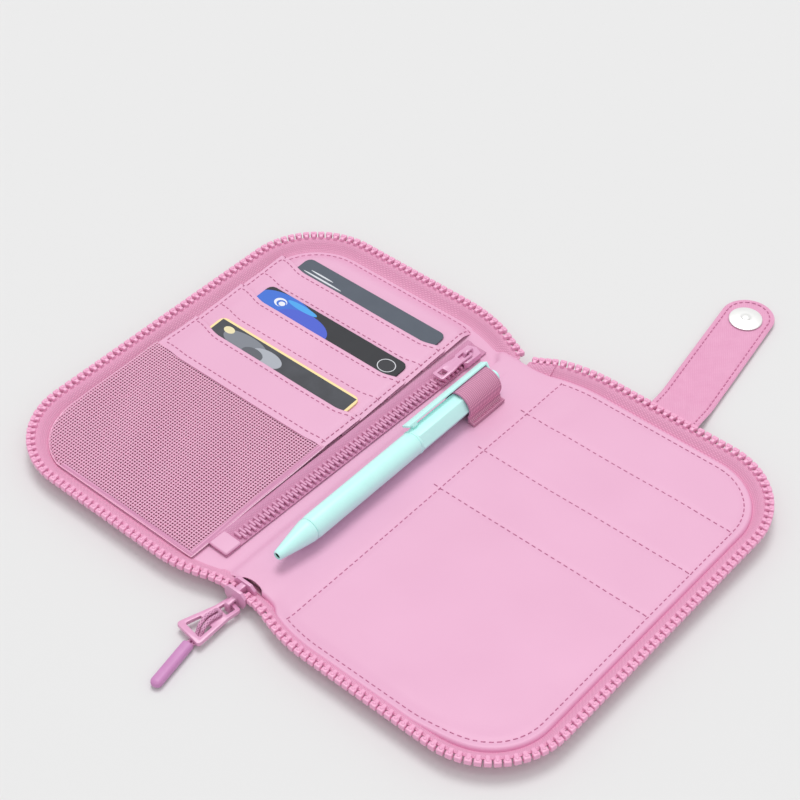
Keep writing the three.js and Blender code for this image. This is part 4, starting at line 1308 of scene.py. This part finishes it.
loop = cloth(list(range(len(LOOP_LINE))), evenly(133), loop_place, LOOP_THICK)
tidy_mesh(loop)
settle(loop, "pen_loop_elastic", ELASTIC, "loop_elastic", "spine", ("pen_loop",), 60)
flange = block((PEN_X + 5.6, LOOP_NEAR + 0.3, 6.2), (11.3, LOOP_FAR - 0.3, 7.1), 0.35, 3)
settle(flange, "pen_loop_flange", ELASTIC, "loop_elastic", "spine", (), 50)
stitches([(10.2, LOOP_NEAR + 0.6), (10.2, LOOP_FAR - 0.6)], "pen_loop_stitches", lambda x, y: 7.62, "spine",
         PALE_THREAD, "loop_elastic", 2.6)


# Main slider and its pull, and the grip: soft plastic moulded over the cord's ends, round at its tip

dressed("main_slider", "main_slider_enamelled", ZINC, "zip_metal", "spine", 0.4, 3)
dressed("pull_frame", "pull_frame_enamelled", ZINC, "zip_metal", "main_pull", 0.5, 3)

GRIP_LONG, GRIP_HALF, GRIP_LOW, GRIP_HIGH = 24.0, 2.5, 0.15, 3.9
GRIP_RIM, GRIP_ROUND = 0.6, 0.72
GRIP_PLACE = (PULL_TURN @ Matrix.Translation(Vector((GRIP_ASIDE, PULL_FAR, 0)))
              @ Matrix.Rotation(GRIP_TURN, 4, "Z") @ Matrix.Translation(Vector((0, -1.9, 0))))


def grip_place(u, v):
    share = 1.0
    if u < GRIP_RIM:
        share = 0.86 + 0.14 * math.sqrt(1 - (1 - u / GRIP_RIM) ** 2)
    elif u > GRIP_LONG - GRIP_HALF:
        share = math.sqrt(max(0.0, 1 - ((u - GRIP_LONG + GRIP_HALF) / GRIP_HALF) ** 2))
    a = 2 * math.pi * v
    x = GRIP_HALF * share * math.copysign(abs(math.cos(a)) ** GRIP_ROUND, math.cos(a))
    z = (GRIP_HIGH - GRIP_LOW) / 2 * share * math.copysign(abs(math.sin(a)) ** GRIP_ROUND, math.sin(a))
    return tuple(GRIP_PLACE @ Vector((x, -u, (GRIP_HIGH + GRIP_LOW) / 2 + z)))


grip_stations = [0, 0.1, 0.25, 0.45, GRIP_RIM, 1.2] + list(np.linspace(2, 21.4, 14))
grip_stations += [GRIP_LONG - GRIP_HALF + GRIP_HALF * math.sin(math.radians(a)) for a in range(5, 91, 5)]
grip = close_ends(cloth(grip_stations, evenly(41), grip_place))
settle(grip, "pull_grip_moulded", GRIP, "pull_grip", "main_pull", ("pull_grip",), 60)


# Strap

STRAP_AT = (Matrix.Translation(Vector((73.3, ROW_Y + 0.46, 0)) * MM)
            @ Matrix.Rotation(math.radians(9.3), 4, "Z"))
STRAP_WIDE, STRAP_LONG, STRAP_THICK = 25.0, 97.0, 2.0
STRAP_HALF = STRAP_WIDE / 2
STRAP_ROUND = STRAP_LONG - STRAP_HALF
STRAP_SEAM = 2.3


def strap_height(y):
    return 0.5 + 3.2 * (1 - smoothstep((y - 2) / 19))


def strap_place(u, v):
    y = -1 + (STRAP_LONG + 1) * v
    wide = STRAP_HALF
    if y > STRAP_ROUND:
        wide = math.sqrt(max(0.0, STRAP_HALF ** 2 - (y - STRAP_ROUND) ** 2))
    x = -wide + 2 * wide * u
    edge = wide - abs(x)
    if y > STRAP_ROUND:
        edge = STRAP_HALF - math.hypot(x, y - STRAP_ROUND)
    z = strap_height(y) + STRAP_THICK
    z -= 0.55 * (1 - smoothstep(edge / 0.9)) ** 2
    z += seam_dip(edge - STRAP_SEAM, 0.2, 0.7)
    return x, y, z


strap_rows = list(np.linspace(0, 0.87, 90))
strap_rows += [0.87 + 0.13 * math.sin(math.radians(a)) for a in np.linspace(3, 90, 30)]
strap_columns = [0, 0.006, 0.015, 0.03, 0.05, 0.08] + list(np.linspace(0.1, 0.9, 34))
strap_columns += [0.92, 0.95, 0.97, 0.985, 0.994, 1]
strap = cloth(strap_columns, strap_rows, strap_place, STRAP_THICK - 0.5)
move(strap, STRAP_AT)
edit(strap)
bpy.ops.mesh.remove_doubles(threshold=0.01 * MM)
object_mode()
settle(strap, "strap_canvas", STRAP_CANVAS, "outer_fabric", "right_half", ("closing_strap",), 50)


def strap_line():
    half = STRAP_HALF - STRAP_SEAM
    line = [(-half, 2.0), (-half, STRAP_ROUND)]
    for degrees in range(170, 0, -10):
        a = math.radians(degrees)
        line.append((half * math.cos(a), STRAP_ROUND + half * math.sin(a)))
    line += [(half, STRAP_ROUND), (half, 2.0)]
    laid = [STRAP_AT @ Vector((x * MM, y * MM, 0)) / MM for x, y in line]
    return [(p.x, p.y) for p in laid]


def strap_top(x, y):
    local = STRAP_AT.inverted() @ Vector((x * MM, y * MM, 0)) / MM
    return strap_height(local.y) + STRAP_THICK - 0.1


stitches(strap_line(), "strap_stitches", strap_top, "right_half", PALE_THREAD, "outer_fabric", 3.0)


# Snap: a turned disc with a nub, and its socket on the other half

snap = turned([(2.0, -0.2), (7.4, -0.1), (7.85, 0.15), (7.9, 0.45), (7.7, 0.8), (7.2, 0.98), (3.4, 1.12),
               (2.3, 1.15), (2.05, 1.3), (1.95, 1.75), (1.5, 2.0), (0.5, 2.06)], 64)
move(snap, STRAP_AT @ Matrix.Translation(Vector((0, STRAP_LONG - 15.2, 2.7)) * MM)
     @ Matrix.Rotation(math.radians(90), 4, "X"))
settle(snap, "snap_stud_plated", STEEL, "snap_metal", "right_half", ("snap_stud",), 35)
dressed("snap_socket", "snap_socket_plated", STEEL, "snap_metal", "left_half", 0.1, 1)


# What lies under the cloth: boards and backings keep their solids, and the foam has rounded edges

for half in ("right", "left"):
    finish(f"{half}_stiffener_board", BOARD)
    finish(f"{half}_pocket_backing", BACKING)

foam = block((-7.1, -84.0, 1.45), (11.1, 86.0, 5.0), 0.8, 3)
settle(foam, "spine_foam", FOAM, "padding_foam", "spine", ("spine_padding",), 50)

drop(STITCH)
drop(TOOTH)


# Floor and light

deselect()
bpy.ops.mesh.primitive_plane_add(size=6, location=(0, 0, -0.0002))
floor = bpy.context.object
floor.name = "floor"
floor.data.materials.append(surface("pale_studio_floor", "#E2E2E2", 0.9)[0])

world = bpy.data.worlds.new("studio")
bpy.context.scene.world = world
world.use_nodes = True
world.node_tree.nodes["Background"].inputs["Color"].default_value = linear("#FFFFFF")
# metal and gloss see the white studio, while the light on the wallet stays even
rays = add(world.node_tree, "ShaderNodeLightPath")
seen = add(world.node_tree, "ShaderNodeMath",
           {0: rays.outputs["Is Camera Ray"], 1: rays.outputs["Is Glossy Ray"]}, operation="MAXIMUM")
level = add(world.node_tree, "ShaderNodeMath", {0: seen.outputs[0], 1: 0.4, 2: 0.6}, operation="MULTIPLY_ADD")
world.node_tree.links.new(level.outputs[0], world.node_tree.nodes["Background"].inputs["Strength"])


def lamp(name, way, strength, spread):
    """A far, wide lamp: light from one side with soft-edged shadows, even over the floor."""
    data = bpy.data.lights.new(name, "SUN")
    data.energy = strength
    data.angle = math.radians(spread)
    light = bpy.data.objects.new(name, data)
    bpy.context.scene.collection.objects.link(light)
    light.location = way
    light.rotation_mode = "QUATERNION"
    light.rotation_quaternion = (-Vector(way)).to_track_quat("-Z", "Y")


lamp("key", (-0.27, 0.3, 1.15), 1.32, 28)
lamp("fill", (0.7, -0.5, 1.2), 0.35, 60)

bpy.context.scene.view_settings.view_transform = "Standard"
